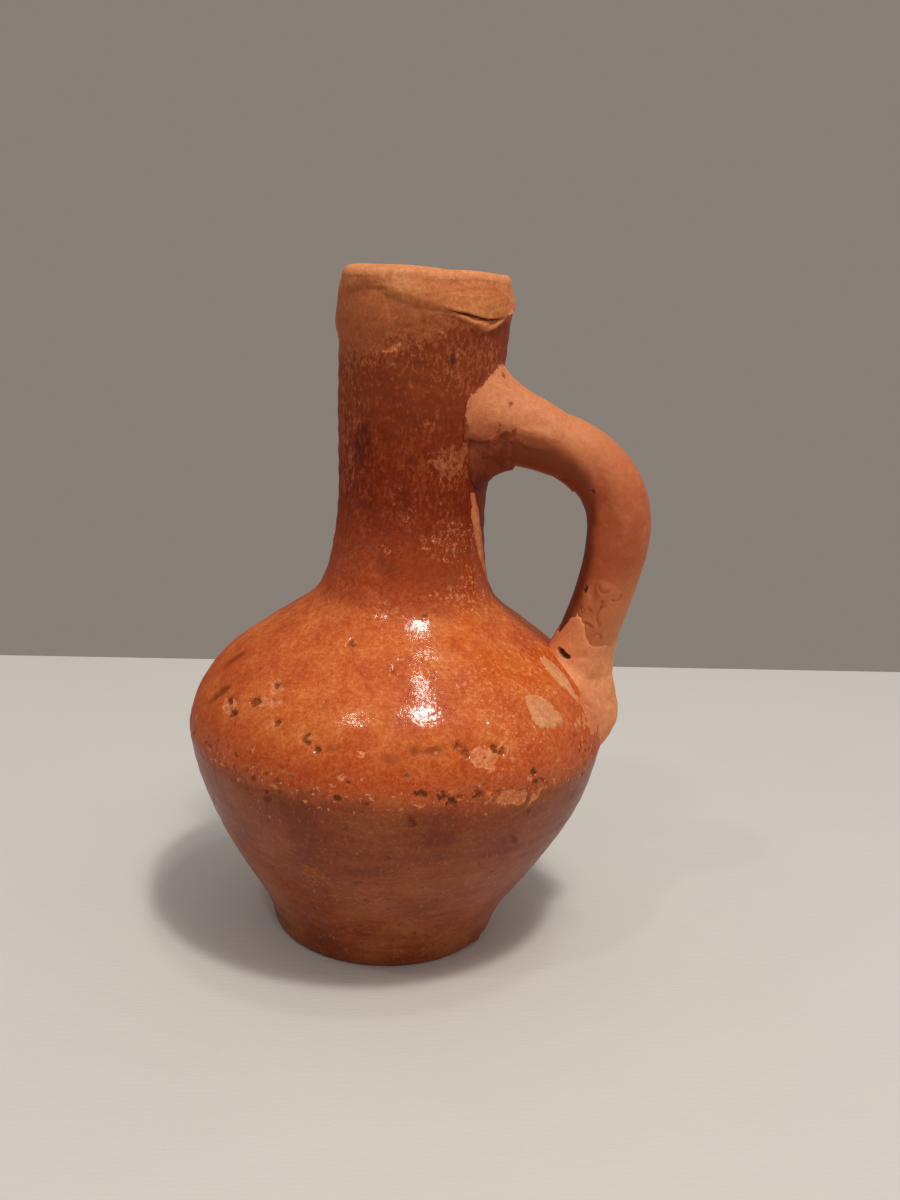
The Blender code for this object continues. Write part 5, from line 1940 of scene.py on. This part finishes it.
@dataclass(frozen=True)
class Studio:
    """Pale floor, a lamp with a wider glow round it, two weak lamps, soft light all round and the camera."""

    floor_colour: Colour = (0.74, 0.685, 0.615)
    floor_shade: float = 0.94
    floor_tooth: float = 0.1 * MM
    wall_colour: Colour = (0.245, 0.212, 0.184)
    sky_from: float = -0.5
    sky_low: float = 0.15
    sky_high: float = 0.47
    sky_way: Axes = (0.35, -0.12, 0.92)
    lamp_power: float = 1.7
    lamp_size: float = 0.07
    lamp_distance: float = 0.85
    lamp_turn: float = math.radians(-49)
    lamp_height: float = math.radians(70)
    halo_power: float = 1.35
    halo_size: float = 0.18
    crown_power: float = 0.45
    crown_turn: float = math.radians(-16)
    crown_height: float = math.radians(80.5)
    side_power: float = 0.36
    side_size: float = 0.045
    side_turn: float = math.radians(-118)
    side_height: float = math.radians(60)
    floor_turn: float = math.radians(14.7)
    floor_back: float = 0.178
    floor_front: float = 0.75
    floor_side: float = 0.75
    camera_turn: float = math.radians(8.5)
    camera_pitch: float = math.radians(15.69)
    camera_roll: float = math.radians(3.05)
    camera_eye: Axes = (0.0115, -0.2760, 0.1517)
    lens: float = 40.5
    sensor: float = 36.0
    near: float = 0.01

    def lay_floor(self) -> None:
        """Lay a plain pale floor whose far edge lies behind the jug."""
        corners = [(-self.floor_side, -self.floor_front), (self.floor_side, -self.floor_front),
                   (self.floor_side, self.floor_back), (-self.floor_side, self.floor_back)]
        mesh = bpy.data.meshes.new("floor")
        mesh.from_pydata([(x, y, 0.0) for x, y in corners], [], [(0, 1, 2, 3)])
        floor = bpy.data.objects.new("floor", mesh)
        floor.rotation_euler.z = self.floor_turn
        bpy.context.scene.collection.objects.link(floor)
        bench = Bench("pale_floor")
        shade = tuple(self.floor_shade * value for value in self.floor_colour)
        colour = bench.mix(bench.noise(pitch=60 * MM, detail=3.0), self.floor_colour, shade)
        tooth = bench.noise(pitch=1.4 * MM, detail=1.0, rough=0.5, stretch=(0.4, 1.6, 1.0))
        dull = bench.range(tooth, 0.0, 1.0, 0.85, 0.95)
        mesh.materials.append(bench.finish(colour, dull, bench.bump(tooth, self.floor_tooth)))

    def hang_lamp(self, name: str, power: float, size: float, turn: float, height: float) -> None:
        """Hang a round lamp that looks at the jug's foot.

        Args:
            name: Name of the lamp.
            power: Its power in watts.
            size: Its width.
            turn: Its direction round the jug.
            height: Its angle over the floor.
        """
        data = bpy.data.lights.new(name, "AREA")
        data.shape = "DISK"
        data.size = size
        data.energy = power
        lamp = bpy.data.objects.new(name, data)
        way = Vector((math.cos(height) * math.cos(turn), math.cos(height) * math.sin(turn), math.sin(height)))
        lamp.location = way * self.lamp_distance
        lamp.rotation_euler = way.to_track_quat("Z", "Y").to_euler()
        bpy.context.scene.collection.objects.link(lamp)

    def light_room(self) -> None:
        """Surround the jug with soft light, strongest from its upper right, and show the eye a grey wall."""
        world = bpy.data.worlds.new("room")
        world.use_nodes = True
        nodes, links = world.node_tree.nodes, world.node_tree.links
        light = nodes["Background"]
        light.inputs["Color"].default_value = (1.0, 1.0, 1.0, 1.0)
        way, rise = nodes.new("ShaderNodeTexCoord"), nodes.new("ShaderNodeVectorMath")
        rise.operation = "DOT_PRODUCT"
        rise.inputs[1].default_value = self.sky_way
        glow = nodes.new("ShaderNodeMapRange")
        glow.inputs["From Min"].default_value = self.sky_from
        glow.inputs["To Min"].default_value = self.sky_low
        glow.inputs["To Max"].default_value = self.sky_high
        links.new(way.outputs["Generated"], rise.inputs[0])
        links.new(rise.outputs["Value"], glow.inputs["Value"])
        links.new(glow.outputs["Result"], light.inputs["Strength"])
        wall = nodes.new("ShaderNodeBackground")
        wall.inputs["Color"].default_value = (*self.wall_colour, 1.0)
        path = nodes.new("ShaderNodeLightPath")
        choice = nodes.new("ShaderNodeMixShader")
        links.new(path.outputs["Is Camera Ray"], choice.inputs[0])
        links.new(light.outputs[0], choice.inputs[1])
        links.new(wall.outputs[0], choice.inputs[2])
        links.new(choice.outputs[0], nodes["World Output"].inputs["Surface"])
        bpy.context.scene.world = world

    def set_camera(self) -> None:
        """Stand the camera where the jug is seen a little from above."""
        turn = Matrix.Rotation(self.camera_turn, 3, "Z")
        pitch, roll = self.camera_pitch, self.camera_roll
        back = turn @ Vector((0.0, -math.cos(pitch), math.sin(pitch)))
        level, rise = turn @ Vector((1.0, 0.0, 0.0)), turn @ Vector((0.0, math.sin(pitch), math.cos(pitch)))
        right = level * math.cos(roll) + rise * math.sin(roll)
        upward = rise * math.cos(roll) - level * math.sin(roll)
        data = bpy.data.cameras.new("camera")
        data.lens, data.sensor_width, data.clip_start = self.lens, self.sensor, self.near
        camera = bpy.data.objects.new("camera", data)
        place = Matrix((right, upward, back)).transposed().to_4x4()
        place.translation = turn @ Vector(self.camera_eye)
        camera.matrix_world = place
        bpy.context.scene.collection.objects.link(camera)
        bpy.context.scene.camera = camera

    def set_up(self) -> None:
        """Build the whole set."""
        self.lay_floor()
        self.hang_lamp("lamp", self.lamp_power, self.lamp_size, self.lamp_turn, self.lamp_height)
        self.hang_lamp("halo_lamp", self.halo_power, self.halo_size, self.lamp_turn, self.lamp_height)
        self.hang_lamp("crown_lamp", self.crown_power, self.lamp_size, self.crown_turn, self.crown_height)
        self.hang_lamp("side_lamp", self.side_power, self.side_size, self.side_turn, self.side_height)
        self.light_room()
        self.set_camera()
        bpy.context.scene.view_settings.view_transform = "Standard"


def main() -> None:
    """Load the solids, build every piece in the order in which the jug was made, and set the studio."""
    logging.basicConfig(level=logging.INFO, format="%(name)s: %(message)s")
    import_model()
    form = VesselForm()
    path = RollPath(form)
    pieces: list[JugPiece] = [
        ThrownVessel(form),
        HandleStump(form, path=path),
        RimBand(form),
        HandleArch(form, path=path),
        LutingCollar(form, path=path),
        LutingPad(form, path=path),
        ClaySmear(form, "neck_smear", "neck_smear_clay", "neck_strip", turn=deg(-13), level=0.0888,
                  width=0.0036, length=0.0232, tilt=deg(21), outline=STRIP_OUTLINE, seed=111,
                  look=STRIP_CLAY),
        ClaySmear(form, "shoulder_dab_round", "round_dab_clay", "round_dab", turn=deg(-31.3), level=0.0592,
                  width=0.0086, length=0.0082, outline=ROUND_DAB_OUTLINE, seed=121),
        ClaySmear(form, "shoulder_dab_long", "long_dab_clay", "long_dab", turn=deg(-11.9), level=0.0620,
                  width=0.0056, length=0.0128, tilt=deg(-6), outline=LONG_DAB_OUTLINE, seed=131),
    ]
    for maker in pieces:
        piece = maker.make()
        LOG.info("%s stands for %s with %d faces", piece.name, maker.node, len(piece.data.polygons))
    Studio().set_up()


if __name__ == "__main__":
    main()
